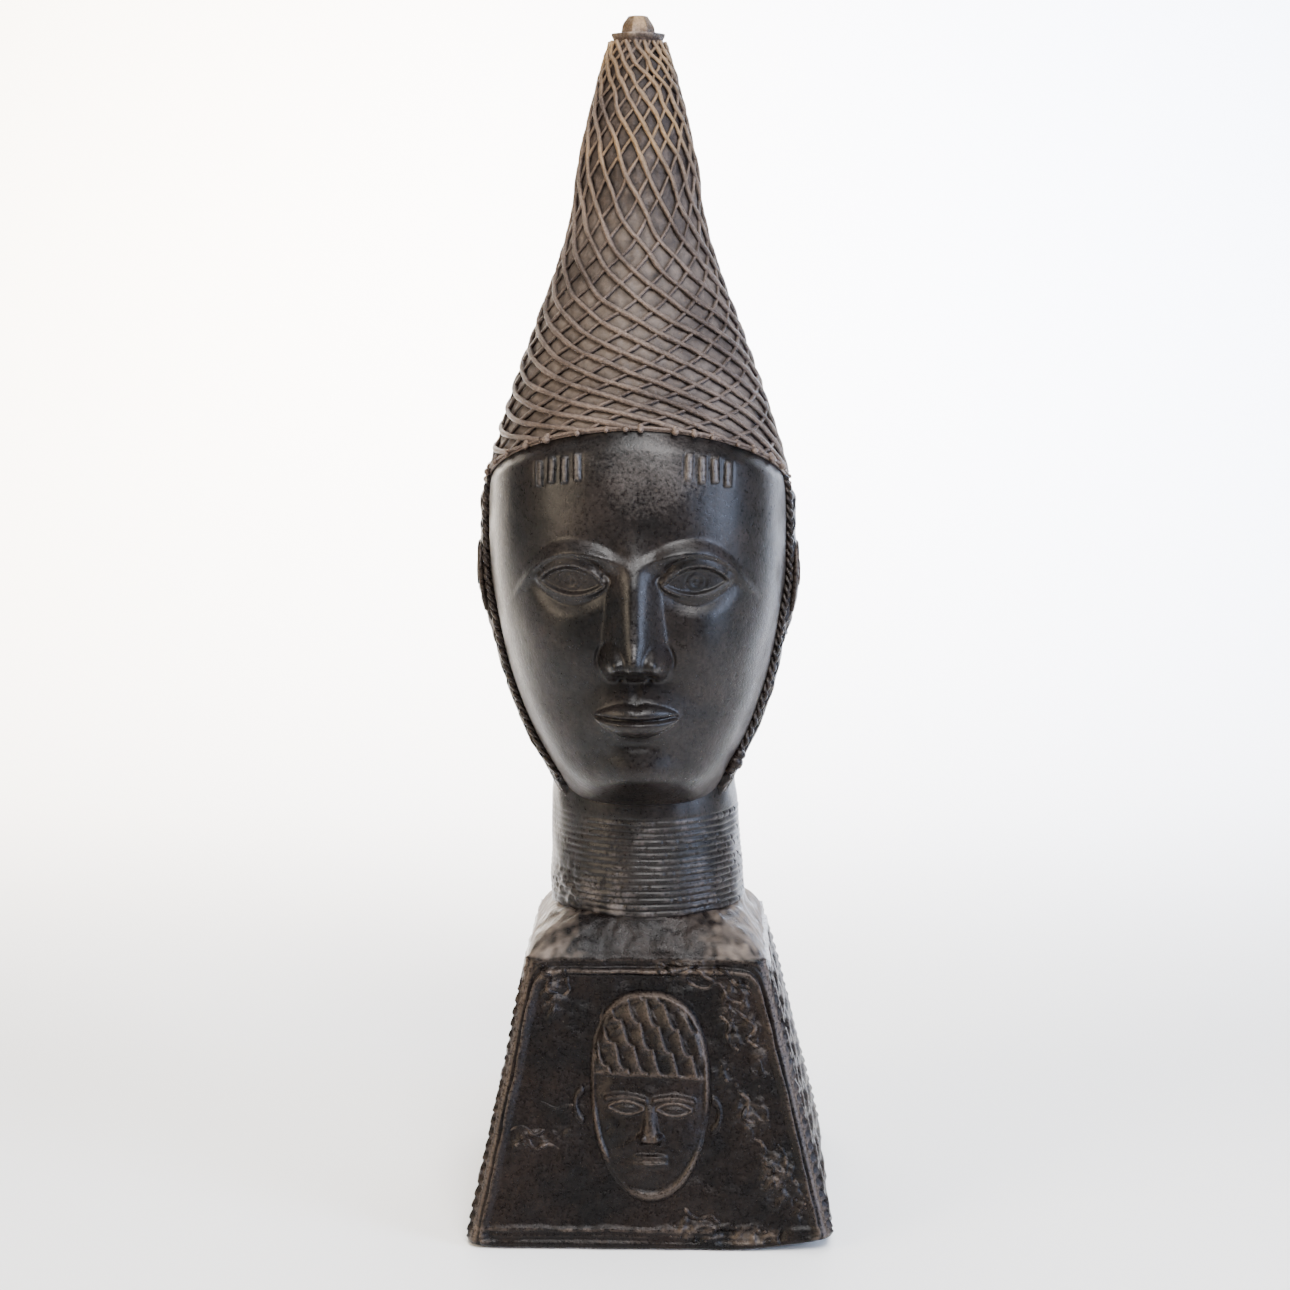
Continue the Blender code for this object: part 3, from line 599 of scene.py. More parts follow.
def strand_line(number, way, sink, wander):
    """The points of one strand from the rim to the top. way is -1 for a long strand and 1 for a tie."""
    rises, turns = net_rows()
    gap = math.tau / STRANDS
    rows = np.arange(len(rises))
    at = np.linspace(0.0, rows[-1], 230)
    rise = through(list(zip(rows, rises)), at)
    turn = through(list(zip(rows, turns)), at)
    keep = rise <= NET_HEIGHT
    at, rise, turn = at[keep], rise[keep], turn[keep]
    angle = turn + (number + way * 0.5 * at) * gap
    key = np.stack([np.full_like(at, number * 3.7), at * 0.55, np.full_like(at, way * 2.0)], axis=-1)
    half = cap_half(RIM_Z + rise)
    angle = angle + wander * lumps(key, 1.0, 3) / half * 2
    narrow = half / (CAP_WIDTH / 2)
    return leaning(cap_point(angle, rise, -sink * (0.5 + 0.5 * narrow))), narrow, key


def cap_wear(points):
    """How high points stand above the middle of the cap's wall, as marks for wear and dust, and how low, for
    the painted shade.
    """
    z = points[:, 2]
    x = points[:, 0] - LEAN * ease(z / RIM_Z)
    out = np.hypot(x, points[:, 1] / cap_depth(z)) - cap_half(z)
    height = np.clip((out + 0.0012) / 0.0018, 0.0, 1.0)
    worn_from, worn_over = 0.555, 0.09
    top = ease((z - worn_from) / worn_over)
    patch = np.clip(0.5 + 1.1 * lumps(points, 0.030, 8) - 5.0 * x, 0.0, 1.0)
    dust = (1 - height) * 0.62 * (1 - 0.95 * top) + 0.06
    uneven = 1 + 0.8 * lumps(points, 0.014, 14)
    return height * (0.36 * uneven + 0.55 * top * patch), dust, top * (0.2 + 0.7 * patch), 1 - height


def mark_cap(piece, share, hollow):
    """Marks a piece of the cap by how high its points stand: worn where high, dusty where low, and painted
    dark where low as painted shade.
    """
    wear, dust, golden, low = cap_wear(points_of(piece))
    mark_points(piece, "wear", wear * share)
    mark_points(piece, "dust", dust)
    mark_points(piece, "golden", golden)
    mark_points(piece, "hollow", np.clip(hollow * low if np.isscalar(hollow) else hollow, 0.0, 1.0))


def make_net_cap(settings):
    """The cap's wall with its rough sunk cells, and the net of strands and ties that winds round it."""
    net = settings.net
    material = finish(settings, "matt_net_bronze")
    rises, turns = net_rows()
    rows = np.arange(len(rises))
    gap = math.tau / STRANDS
    angle, rise = np.meshgrid(np.linspace(0, math.tau, 324, endpoint=False), np.linspace(0, NET_HEIGHT, 232))
    at = np.interp(rise, rises, rows)
    turn = through(list(zip(rows, turns)), at)
    half = cap_half(RIM_Z + rise)
    share = rise / NET_HEIGHT
    nearest = np.full_like(rise, 1.0)
    for way, slopes in ((-1, LONG_STRANDS), (1, CROSS_TIES)):
        phase = (angle - turn) / gap - way * 0.5 * at
        away = np.abs(phase - np.round(phase)) * gap * half * np.sin(np.radians(through(slopes, share)))
        nearest = np.minimum(nearest, away * (1.0 if way < 0 else 1.25))
    narrow = half / (CAP_WIDTH / 2)
    depth = NET_DEPTH * (0.5 + 0.65 * narrow)
    floor = cap_point(angle, rise, 0.0)
    rough = 0.00065 * lumps(floor, 0.0036, 1) + 0.00055 * lumps(floor, 0.010, 2)
    outward = -depth * (1.05 - 0.25 * ridge(nearest - 0.0055, 0.0040)) + rough
    wall = cap_point(angle, rise, outward)
    # Under the lip the wall turns in and up, so that the rim casts its dark line on the forehead
    under = [cap_point(angle[0], 0 * rise[0] + drop, -inwards) for drop, inwards in
             ((0.006, 0.0150), (-0.0004, 0.0085), (-0.0016, 0.0040), (-0.0010, 0.0026))]
    piece = ring_piece("net_cap_wall", leaning(np.concatenate([np.stack(under), wall])))
    # Painted shade: the wall is painted dark close beside every strand and all over under the lip, where
    # shadow falls, and all of it is darker towards the worn tip
    close = np.clip(0.62 * np.sqrt(ridge(nearest, 0.0034)) + 0.18 * ease((rise / NET_HEIGHT - 0.45) / 0.3)
                    + 0.40 * lumps(floor, 0.0045, 13), 0.0, 1.0)
    mark_cap(piece, 0.5, np.concatenate([np.ones((4, close.shape[1])), close]))
    hand_in(piece, material)

    for way, name, radius, sink, sides in ((-1, "net_strands", net.strand_radius, 0.0003, 8),
                                           (1, "net_ties", net.tie_radius, 0.0009, 6)):
        lines, radii = [], []
        for number in range(STRANDS):
            line, narrow, key = strand_line(number, way, sink, net.wander)
            uneven = 1 + 0.3 * lumps(key * 2.6, 1.0, 5)
            if way > 0:
                # Ties thin out where a long strand runs over them, and some are nearly lost
                uneven *= 0.86 + 0.3 * lumps(key * 1.7, 1.0, 9)
            lines.append(line)
            radii.append(radius * (0.8 + 0.2 * narrow) * uneven)
        piece = ribs(name, lines, radii, material, sides=sides, unevenness=0.0009, lump=0.005, seed=way)
        # The strands' low sides, next to the wall, are painted dark: painted shade
        mark_cap(piece, 1.0, 0.55)
        hand_in(piece, material)

    make_rim(settings, material)


# Where the rim's knots sit, in degrees from the front. They are as uneven as hand work is
KNOTS = [-178, -167, -158, -146, -137, -125, -116, -104, -93, -83, -71, -60, -48, -37, -23, -11, -3, 3, 17,
         25, 33, 45, 54, 66, 75, 88, 97, 108, 119, 128, 140, 150, 161, 171]


def make_rim(settings, material):
    """The thin lip that edges the cap, and the small knots on it where strands end."""
    net = settings.net
    angle = np.linspace(0, math.tau, 300, endpoint=False)
    ring = np.stack([np.cos(angle), np.sin(angle), 0 * angle], axis=-1)
    wave = 0.0004 * lumps(ring, 0.16, 4)
    lip = leaning(cap_point(angle, wave, -0.0006))
    under = leaning(cap_point(angle, wave - 0.0019, -0.0017))
    radius = net.lip_radius * (1 + 0.25 * lumps(ring, 0.12, 6))
    piece = ribs("rim_lip", [lip, under], [radius, radius * 0.8], material, closed=True, sides=10,
                 unevenness=0.0005, lump=0.005, seed=3.0)
    hand_in(piece, material, wear=0.42)
    turns = np.radians(KNOTS)
    low = leaning(cap_point(turns, -0.0016 + 0 * turns, 0.0004))
    high = leaning(cap_point(turns, 0.0012 + 0 * turns, -0.0002))
    sizes = net.knot_radius * (0.86 + 0.25 * np.sin(turns * 7.0))
    points = np.concatenate([low, high])
    piece = knots("rim_knots", points, np.concatenate([sizes * 0.8, sizes * 0.7]), material, detail=2,
                  unevenness=0.0009, seed=2.0)
    hand_in(piece, material, wear=0.5)


def make_finial(settings):
    """The collar with its turned-out lip, and the small knob above it, both worn into soft facets."""
    lip, knob, top = LIP_WIDTH / 2, KNOB_WIDTH / 2, KNOB_TOP_WIDTH / 2
    up = FINIAL_HEIGHT
    # Each point of the outline: its place along it, its rise as a share of the height, and its half width
    outline = [(0.0, -0.9, lip * 0.80), (0.16, -0.6, lip * 0.81), (0.28, -0.25, lip * 0.85),
               (0.36, 0.05, lip * 0.93), (0.41, 0.22, lip * 1.0), (0.45, 0.30, lip * 0.99),
               (0.49, 0.31, lip * 0.90), (0.55, 0.26, knob * 1.22), (0.6, 0.28, knob * 1.06),
               (0.66, 0.40, knob * 1.0), (0.76, 0.66, knob * 0.90), (0.84, 0.86, top * 1.02),
               (0.92, 0.97, top * 0.80), (1.0, 1.0, top * 0.10)]
    steps = np.linspace(0, 1, 72)
    height = through([(at, rise) for at, rise, _ in outline], steps) * up + NET_TOP_Z
    radius = through([(at, wide) for at, _, wide in outline], steps)
    angle = np.linspace(0, math.tau, 120, endpoint=False)
    sides = 7
    # A soft polygon: flat between its corners, and the corners are worn round
    turned = (angle * sides / math.tau + 0.35) % 1 - 0.5
    facet = math.cos(math.pi / sides) / np.cos(turned * math.tau / sides)
    facet = 1 - 0.8 * (1 - facet)
    around = radius[:, None] * facet[None, :]
    rows = round_points(around, angle, height[:, None])
    rough = 0.00055 * lumps(rows, 0.006, 3) + 0.0002 * lumps(rows, 0.002, 4)
    usual_radius = 0.012
    rows *= np.stack([1 + rough / usual_radius, 1 + rough / usual_radius, 1 + 0 * rough], axis=-1)
    piece = ring_piece("finial", leaning(rows))
    z = points_of(piece)[:, 2]
    higher = ease((z - NET_TOP_Z) / up)
    rubbed = 0.26 + 0.40 * higher + 0.4 * lumps(points_of(piece), 0.008, 5)
    dust = 0.30 * ridge(z - NET_TOP_Z - 0.27 * up, 0.0014) + 0.2 * ease((NET_TOP_Z - z) / 0.006)
    hand_in(piece, finish(settings, "worn_golden_bronze"), wear=rubbed, golden=0.4 + 0.5 * higher, dust=dust)


# The head

def brow_line(side):
    """The height of the brows' arch, which runs level into the root of the nose."""
    beside = np.maximum(side - EYE, 0.0) + 0.55 * np.minimum(side - EYE, 0.0)
    return BROW_Z - 0.8 * beside ** 2 / EYE


def face_features(x, z):
    """How far the broad forms of the calm, even face stand out of the plain egg of the head."""
    side = np.abs(x)
    out = -0.2 * EYE * bump(side, z, EYE, EYE_Z, 0.8 * EYE, 0.3 * THIRD)
    arch_z = brow_line(side)
    out += 0.13 * EYE * bump(side, z, EYE, arch_z, 1.1 * EYE, 0.14 * THIRD)
    rise = (BROW_Z - z) / THIRD
    down = 0.5 * (ease(rise / 0.86) + np.clip(rise, 0.0, 0.86) / 0.86)
    half = EYE * (0.21 + 0.12 * down)
    height = EYE * (0.16 + 0.44 * down)
    end = ease((1.05 - rise) / 0.16) * ease((rise + 0.22) / 0.5)
    out += height * end * np.maximum(0.0, 1 - (side / (1.8 * half)) ** 2) ** 1.7
    out += 0.30 * EYE * bump(side, z, 0.37 * EYE, NOSE_Z + 0.12 * THIRD, 0.25 * EYE, 0.18 * THIRD)
    out += 0.13 * EYE * bump(side, z, 0.0, MOUTH_Z, 1.05 * EYE, 0.36 * THIRD)
    out += 0.09 * EYE * bump(side, z, 0.0, MOUTH_Z - 0.02 * THIRD, 0.74 * EYE, 0.2 * THIRD)
    out += 0.14 * EYE * bump(side, z, 0.0, CHIN_Z + 0.2 * THIRD, 0.75 * EYE, 0.3 * THIRD)
    out += 0.12 * EYE * bump(side, z, 1.25 * EYE, NOSE_Z + 0.25 * THIRD, 0.9 * EYE, 0.55 * THIRD)
    return out


def eye_opening(x, z):
    """How far points lie outside the almond between the lids, and how high above the eye's middle."""
    across = (np.abs(x) - EYE) / (0.5 * EYE)
    up = z - EYE_Z - 0.0006 * across
    arch = np.maximum(0.0, 1 - across ** 2)
    upper = 0.25 * EYE * arch ** 0.85
    lower = 0.17 * EYE * arch
    flat = 1 / np.sqrt(1 + (0.8 * across) ** 2)
    inside = np.maximum(up - upper, -up - lower) * flat
    beyond = np.maximum(0.0, np.abs(across) - 1) * 0.5 * EYE
    return np.where(beyond > 0, np.hypot(up, beyond), inside), up


def face_details(x, z, head):
    """The eyes, lids, nostrils, lips and forehead marks, forward of the broad forms, with marks for wear,
    which also paint highlights on these high forms.
    """
    side = np.abs(x)
    across = (side - EYE) / (0.62 * EYE)
    pinch = np.maximum(0.3, 1 - 0.45 * across ** 2)
    oval = np.maximum(0.0, 1 - across ** 2 - ((z - EYE_Z - 0.0012) / (0.40 * EYE * pinch)) ** 2)
    out = 0.17 * EYE * oval ** 0.8
    away, up = eye_opening(x, z)
    out -= 0.0015 * ease(-away / 0.0010)
    lid = head.lid_height * ridge(away - 0.0015, 0.0013)
    crease = 0.0011 * ridge(away - 0.0056, 0.0011) * ease(up / 0.004)
    iris = np.hypot(side - EYE, z - EYE_Z - 0.0006)
    open_part = ease(-away / 0.0008)
    drawn = 0.0005 * ridge(iris - 0.16 * EYE, 0.0005) + 0.0006 * ridge(iris - 0.055 * EYE, 0.0006)
    out += lid - crease - drawn * open_part
    brow_end = ease((1.0 * EYE - np.abs(side - 1.05 * EYE)) / (0.45 * EYE))
    brow = 0.0014 * ridge(z - brow_line(side), 0.0024) * brow_end
    out += brow
    # The tip and wings of the nose, the crease round each wing, and the nostrils
    out += 0.07 * EYE * bump(side, z, 0.0, NOSE_Z + 0.15 * THIRD, 0.3 * EYE, 0.17 * THIRD)
    wing = np.hypot((side - 0.36 * EYE) / (0.27 * EYE), (z - NOSE_Z - 0.12 * THIRD) / (0.17 * THIRD))
    beside = ease((side - 0.42 * EYE) / (0.12 * EYE)) * ease((z - NOSE_Z - 0.06 * THIRD) / (0.06 * THIRD))
    out -= 0.0011 * ridge(wing - 0.98, 0.12) * beside
    out -= 0.0050 * bump(side, z, 0.25 * EYE, NOSE_Z + 0.01 * THIRD, 0.14 * EYE, 0.055 * THIRD)
    # The lips, full and closed, with a bow in the upper one, and the groove from nose to lip
    half = 0.70 * EYE
    line = MOUTH_Z + 0.0012 * (x / half) ** 2 - 0.0008
    taper = np.maximum(0.0, 1 - (x / half) ** 2)
    tall = 0.0092 * taper ** 0.75 * (1 - 0.18 * ridge(x, 0.0034)) + 0.0001
    low = 0.0104 * taper ** 0.75 + 0.0001
    share = np.where(z > line, (z - line) / tall, (line - z) / low)
    full = np.sqrt(np.maximum(0.0, 1 - ((share - 0.42) / 0.58) ** 2)) * taper ** 0.4
    out += np.where(z > line, 0.0040, 0.0050) * full
    out -= 0.0030 * ridge(z - line, 0.0010) * ease(taper / 0.15)
    out -= 0.0009 * bump(x, z, 0.0, 0.5 * (NOSE_Z + MOUTH_Z + 0.0085), 0.0046, 0.0080)
    out -= 0.0016 * bump(x, z, 0.0, MOUTH_Z - 0.0165, 0.018, 0.0055)
    # Wear on the lids, lips, brows and nose: worn patina, and also a painted highlight on these high forms
    wear = 0.5 * lid / head.lid_height + 0.35 * full + 0.3 * brow / 0.0011
    wear += 0.55 * bump(side, z, 0.0, NOSE_Z + 0.3 * THIRD, 0.16 * EYE, 0.45 * THIRD)
    wear += 0.35 * bump(side, z, 0.36 * EYE, NOSE_Z + 0.12 * THIRD, 0.24 * EYE, 0.15 * THIRD)
    # Four upright bars on each side of the forehead
    for number in range(4):
        middle_x = EYE + (number - 0.5) * 0.0072
        drop = RIM_TILT * 0.55 * (middle_x / (HEAD_WIDTH / 2)) ** 2
        middle_z = RIM_FRONT_Z - RIM_THICKNESS - 0.014 - drop
        slant = 0.03 * math.sin(number * 2.3 + 1)
        beside = np.abs(side - middle_x - slant * (z - middle_z))
        above = np.abs(z - middle_z - 0.0006 * math.sin(number * 4.1))
        bar = ease((0.00165 - beside) / 0.0008 + 0.5) * ease((0.0069 - above) / 0.0009 + 0.5)
        out += head.mark_height * bar
        out -= 0.0004 * ridge(beside - 0.0027, 0.0006) * ease((0.0072 - above) / 0.001)
        wear += 0.42 * bar
    return out, wear


def head_rows(angle, z, raised):
    """Points of the head at angles in degrees round from the front, raised out of it by a given amount."""
    share = (z - CHIN_Z) / FACE_HEIGHT
    half_width = through(WIDTH_PROFILE, share) * HEAD_WIDTH / 2
    turn = np.radians(angle)
    s, c = np.sin(turn), np.cos(turn)
    depth = np.where(c > 0, through(FRONT_PROFILE, share), through(BACK_PROFILE, share)) * HEAD_DEPTH / 2
    square = 2.25
    reach = (np.abs(s / half_width) ** square + np.abs(c / depth) ** square) ** (-1 / square) + raised
    above_rim = z - RIM_Z - RIM_TILT * c
    inside = cap_half(z)
    inside = 1 / np.hypot(s / inside, c / (inside * cap_depth(z))) - RIM_THICKNESS * 0.6
    tuck = ease(1 + above_rim / RIM_BLEND)
    reach += (inside - 0.3 * np.maximum(0.0, above_rim) - reach) * tuck
    x, y = reach * s, -reach * c
    ear = bump(np.abs(angle), z, 88, EAR_Z, 9, FACE_HEIGHT * 0.16)
    x = x + 0.004 * ear * np.sign(x)
    return np.stack([x, y, z + 0 * x], axis=-1)


def hair_edge(z):
    return through(HAIR_EDGE, (z - CHIN_Z) / FACE_HEIGHT)


def make_face(settings):
    """The polished face, with the lids, lips, nose and marks worked in. Its hidden back is plain."""
    low, high = CHIN_Z - 0.08 * FACE_HEIGHT, CHIN_Z + 1.05 * FACE_HEIGHT
    z = np.linspace(low, high, 280)[:, None]
    edge = hair_edge(z) + 7.0
    across = np.linspace(-1, 1, 252)[None, :]
    front = np.degrees(np.arcsin(across * np.sin(np.radians(edge))))
    behind = edge + (360 - 2 * edge) * np.linspace(0, 1, 18)[None, 1:-1]
    angle = np.concatenate([front, behind], axis=1)
    rows = head_rows(angle, z, 0.0)
    inner = np.arange(angle.shape[1]) >= front.shape[1]
    facing = ease((np.cos(np.radians(angle)) - 0.2) / 0.4)
    x, up = rows[..., 0], rows[..., 2]
    details, wear = face_details(x, up, settings.head)
    rows[..., 1] -= face_features(x, up) * facing
    rows[..., 1] -= details * facing
    uneven = 0.0005 * lumps(rows, 0.022, 11) + 0.0001 * lumps(rows, 0.005, 12)
    rows[..., 1] -= uneven * facing
    rows[:, inner, :2] *= 0.97
    piece = ring_piece("face", leaning(rows))
    below_rim = RIM_Z + RIM_TILT * np.cos(np.radians(angle)) - z
    # A painted highlight on the upper forehead, a little to the right of the middle, laid in through the
    # wear mark
    rubbed = bump(x, up, 0.008, CHIN_Z + 0.88 * FACE_HEIGHT, 0.080, 0.048)
    rubbed = rubbed * (1 + 0.35 * lumps(rows, 0.020, 15))
    # Painted shade along the hair's edge: the face's sides are made matt and grey-brown, which dims their
    # reflection
    dust_and_shade = 0.95 * ease((np.abs(angle) - edge + 38.0) / 26.0) * (1 + 0.6 * lumps(rows, 0.014, 16))
    dust = 0.5 * ridge(below_rim - 0.001, 0.0035) + 0.25 * ridge(z - low - 0.02, 0.012)
    # The wear mark is worn patina on the features plus the painted forehead highlight
    hand_in(piece, finish(settings, "polished_black_bronze"), wear=(wear * 0.55 + 0.31 * rubbed) * facing,
            dust=dust + dust_and_shade)


def diamond_net(along, up, cell, width):
    """Two families of slanting cords over a surface: 1 on a cord, 0 in the cells."""
    # The cords lie at 45 degrees, so the root of 2 turns lengths along them into lengths across the surface
    root = 1.414
    one = (along + up) / (cell * root)
    two = (along - up) / (cell * root)
    nearest = np.minimum(np.abs(one - np.round(one)), np.abs(two - np.round(two)))
    return ridge(nearest * cell * root * (root / 2), width)


# An ear's outer and inner fold: half width in degrees, half height, radius, and its ends in half turns
EAR_FOLDS = [(7.2, 0.027, 0.0019, -0.55, 1.15), (4.0, 0.0165, 0.0014, -0.35, 0.95)]


def make_hair(settings):
    """The netted hair cover round the sides and back, the twisted cords on its edge, the ears and a bead."""
    head = settings.head
    material = finish(settings, "dark_base_bronze")
    low, high = CHIN_Z - 0.07 * FACE_HEIGHT, CHIN_Z + 1.02 * FACE_HEIGHT
    z = np.linspace(low, high, 152)[:, None]
    edge = hair_edge(z)
    behind = edge + (360 - 2 * edge) * np.linspace(0, 1, 240)[None, :]
    before = -edge + 2 * edge * np.linspace(0, 1, 22)[None, 1:-1]
    angle = np.concatenate([behind, before + 360], axis=1)
    wrapped = (angle + 180) % 360 - 180
    step = (np.abs(wrapped) - edge) / 3.0
    raised = np.where(step < 0, -0.006, 0.0045 * ease(step + 0.35))
    rows = head_rows(wrapped, z, raised)
    usual_radius = 0.088
    along = np.radians(wrapped) * usual_radius
    cord = diamond_net(along, z + 0 * along, head.hair_cell, 0.0013)
    uneven = 0.5 * lumps(rows, 0.010, 21)
    below_rim = RIM_Z + RIM_TILT * np.cos(np.radians(wrapped)) - z
    fade = ease(step) * ease(below_rim / 0.012)
    out = 0.0012 * cord * (1 + uneven) * fade + 0.0006 * uneven * fade
    turn = np.radians(wrapped)
    rows[..., 0] += out * np.sin(turn)
    rows[..., 1] -= out * np.cos(turn)
    piece = ring_piece("hair_cover", leaning(rows))
    hand_in(piece, material, wear=cord * fade * 0.45 * (1 + uneven), dust=(1 - cord) * fade * 0.6)

    lines, radii = [], []
    for side in (-1, 1):
        lowest = CHIN_Z + 0.008 if side > 0 else CHIN_Z
        up = np.linspace(lowest, RIM_Z + 0.006, 320)
        edge = hair_edge(up) - 0.5
        middle = head_rows(side * edge, up, 0.0018)
        turn = np.radians(side * edge)
        outward = np.stack([np.sin(turn), -np.cos(turn), 0 * up], axis=-1)
        forward = np.stack([-side * np.cos(turn), -np.abs(np.sin(turn)), 0 * up], axis=-1)
        for half_turn in (0.0, math.pi):
            twist = math.tau * up / 0.0105 * side + half_turn
            shift = head.braid_radius * 0.62
            line = middle + shift * (outward * np.cos(twist)[:, None] + forward * np.sin(twist)[:, None])
            lines.append(leaning(line))
            radii.append(head.braid_radius * 0.78 * (1 + 0.12 * np.sin(up * 700)) + 0 * up)
    piece = ribs("hair_edge_cords", lines, radii, material, sides=9, unevenness=0.0006, lump=0.006, seed=7.0)
    hand_in(piece, material, wear=0.3, dust=0.2)

    # The ears: an outer and an inner fold on each side, low and simple
    lines, radii = [], []
    for side in (-1, 1):
        for wide, tall, thick, first, last in EAR_FOLDS:
            swing = np.linspace(first * math.pi, last * math.pi, 70)
            around = 90 + wide * np.cos(swing)
            up = EAR_Z + tall * np.sin(swing)
            lines.append(leaning(head_rows(side * around, up, 0.0052)))
            radii.append(thick * (0.6 + 0.4 * np.sin(np.linspace(0.25, math.pi - 0.25, 70))))
    piece = ribs("ears", lines, radii, material, sides=10, unevenness=0.0004, lump=0.006, seed=9.0)
    hand_in(piece, material, wear=0.4)

    # The cord at +X ends in a small bead at the jaw
    up = CHIN_Z + np.array([0.0100, 0.0145, 0.0060])
    spots = leaning(head_rows(hair_edge(up) - 2.0, up, 0.0030))
    piece = knots("hair_bead", spots, [0.0048, 0.0036, 0.0030], material, detail=4, unevenness=0.0012,
                  seed=4.0)
    hand_in(piece, material, wear=0.25)


# The neck

def make_neck(settings):
    """The ringed collar: lines round the neck, cut across in places into beads, worn away on one side."""
    neck = settings.neck
    z = np.linspace(NECK_FOOT_Z - 0.012, CHIN_Z + 0.028, 152)[:, None]
    angle = np.linspace(-math.pi, math.pi, 340, endpoint=False)[None, :]
    half = NECK_WIDTH / 2
    share = (COLLAR_TOP_Z - z) / COLLAR_HEIGHT
    radius = half * (0.985 + 0.04 * ease(share)) - 0.0016 * ease((z - COLLAR_TOP_Z) / 0.02)
    radius = radius - 0.012 * ease((z - CHIN_Z) / 0.03)
    flat = round_points(half, angle, z)
    wavy = 0.0007 * lumps(flat, 0.030, 31)
    ring = (COLLAR_TOP_Z - z + wavy) / neck.ring_pitch
    band = np.floor(ring)
    groove = ridge((ring - np.round(ring)) * neck.ring_pitch, 0.00055)
    rounded = 0.0005 * np.sqrt(np.maximum(0.0, 1 - (2 * (ring - band) - 1) ** 2))
    inside = ease((ring + 0.3) / 0.3) * ease((COLLAR_HEIGHT / neck.ring_pitch + 0.3 - ring) / 0.3)
    # The lines are clear at the front and right, faint at the left, where the casting is rough
    clear = 0.3 + 0.8 * ease((np.sin(angle) + 0.72) / 0.5) + 0 * z
    clear = np.clip(clear + 0.5 * lumps(flat, 0.018, 32), 0.05, 1.0)
    place = half * angle
    spacing = 0.0052 + 0.0040 * (0.5 + 0.5 * np.sin(band * 12.9898))
    bead = (place + 0.03 * np.sin(band * 78.233)) / spacing
    cell = np.round(bead)
    chance = np.sin(cell * 127.1 + band * 311.7) * 43758.5453
    chance = chance - np.floor(chance)
    cut = ridge((bead - cell) * spacing, 0.00045) * (chance < 0.42) * (ring > 0.0)
    rough_left = bump(angle, z, -0.75, NECK_FOOT_Z + 0.012, 0.85, 0.022)
    out = inside * clear * (rounded - neck.groove_depth * np.maximum(groove, 0.85 * cut))
    out = out + 0.0016 * rough_left * (0.3 + lumps(flat, 0.005, 33)) + 0.0006 * lumps(flat, 0.013, 34)
    radius = radius + out
    piece = ring_piece("ringed_neck", leaning(round_points(radius, angle, z)))
    wear = inside * clear * (1 - groove) * 0.22 * (1 + lumps(flat, 0.008, 35))
    foot = ease((NECK_FOOT_Z + 0.016 - z) / 0.02) + 0 * angle
    tan_spot = bump(angle, z, -0.30, NECK_FOOT_Z + 0.004, 0.13, 0.006)
    tan_spot = tan_spot + bump(angle, z, -0.52, NECK_FOOT_Z + 0.002, 0.06, 0.004)
    dust = 0.16 * rough_left * (1 + lumps(flat, 0.010, 36)) + 0.25 * foot + 0.45 * tan_spot
    hand_in(piece, finish(settings, "polished_black_bronze"),
            wear=wear + 0.2 * rough_left + 0.42 * tan_spot, dust=dust)


# The base

# Rough spots on the front, as place, half size and strength, in millimetres and shares
ROUGH_SPOTS = [(-55, 143, 8, 19, 1.0), (22, 156, 30, 7, 0.8), (52, 132, 12, 24, 1.0), (-68, 61, 15, 6, 0.9),
               (-50, 66, 12, 4, 0.6), (60, 76, 13, 15, 1.0), (74, 42, 13, 22, 1.2), (30, 12, 22, 8, 1.1),
               (-20, 120, 9, 14, 0.35), (44, 95, 9, 14, 0.5), (60, 8, 18, 8, 1.3), (66, 108, 7, 22, 0.7),
               (86, 30, 6, 20, 0.8)]

# Up the shoulder: its half width as a share of the base's top, and how square it is
SHOULDER_WIDTHS = [(0.0, 0.985), (0.12, 0.965), (0.3, 0.93), (0.6, 0.88), (1.0, 0.85), (1.5, 0.83)]
SHOULDER_SQUARENESS = [(0.0, 18.0), (0.2, 10.0), (0.6, 4.0), (1.0, 2.1), (1.5, 2.0)]


def plait(across, along, width):
    """A two-strand plait: strands that swing from side to side and pass over each other."""
    out = np.zeros_like(across)
    for phase in (0.0, math.pi):
        swing = 0.25 * width * np.sin(math.tau * along / (1.5 * width) + phase)
        over = 0.75 + 0.25 * np.cos(math.tau * along / (1.5 * width) + phase)
        strand = np.maximum(0.0, 1 - (np.abs(across - swing) / (0.21 * width)) ** 2) ** 0.6
        out = np.maximum(out, over * strand)
    return out


def panel_border(across, z, half, height):
    """A side's border of two ridges, 1 in its sunk panel and 0 outside, and how near the side's edge is."""
    corner = 0.0052
    side_gap = half - np.abs(across)
    top_gap = BASE_HEIGHT - z
    nearest = -corner * np.log(np.exp(-side_gap / corner) + np.exp(-top_gap / corner) + np.exp(-z / 0.0018))
    sunk = ease((nearest - 0.0085) / 0.0022)
    frame_lines = 0.0012 * ridge(nearest - 0.0074, 0.0013) - 0.0020 * ridge(nearest - 0.0049, 0.0011)
    frame_lines = frame_lines - 0.0009 * ridge(nearest - 0.0022, 0.0007)
    return frame_lines - height * sunk, sunk, nearest


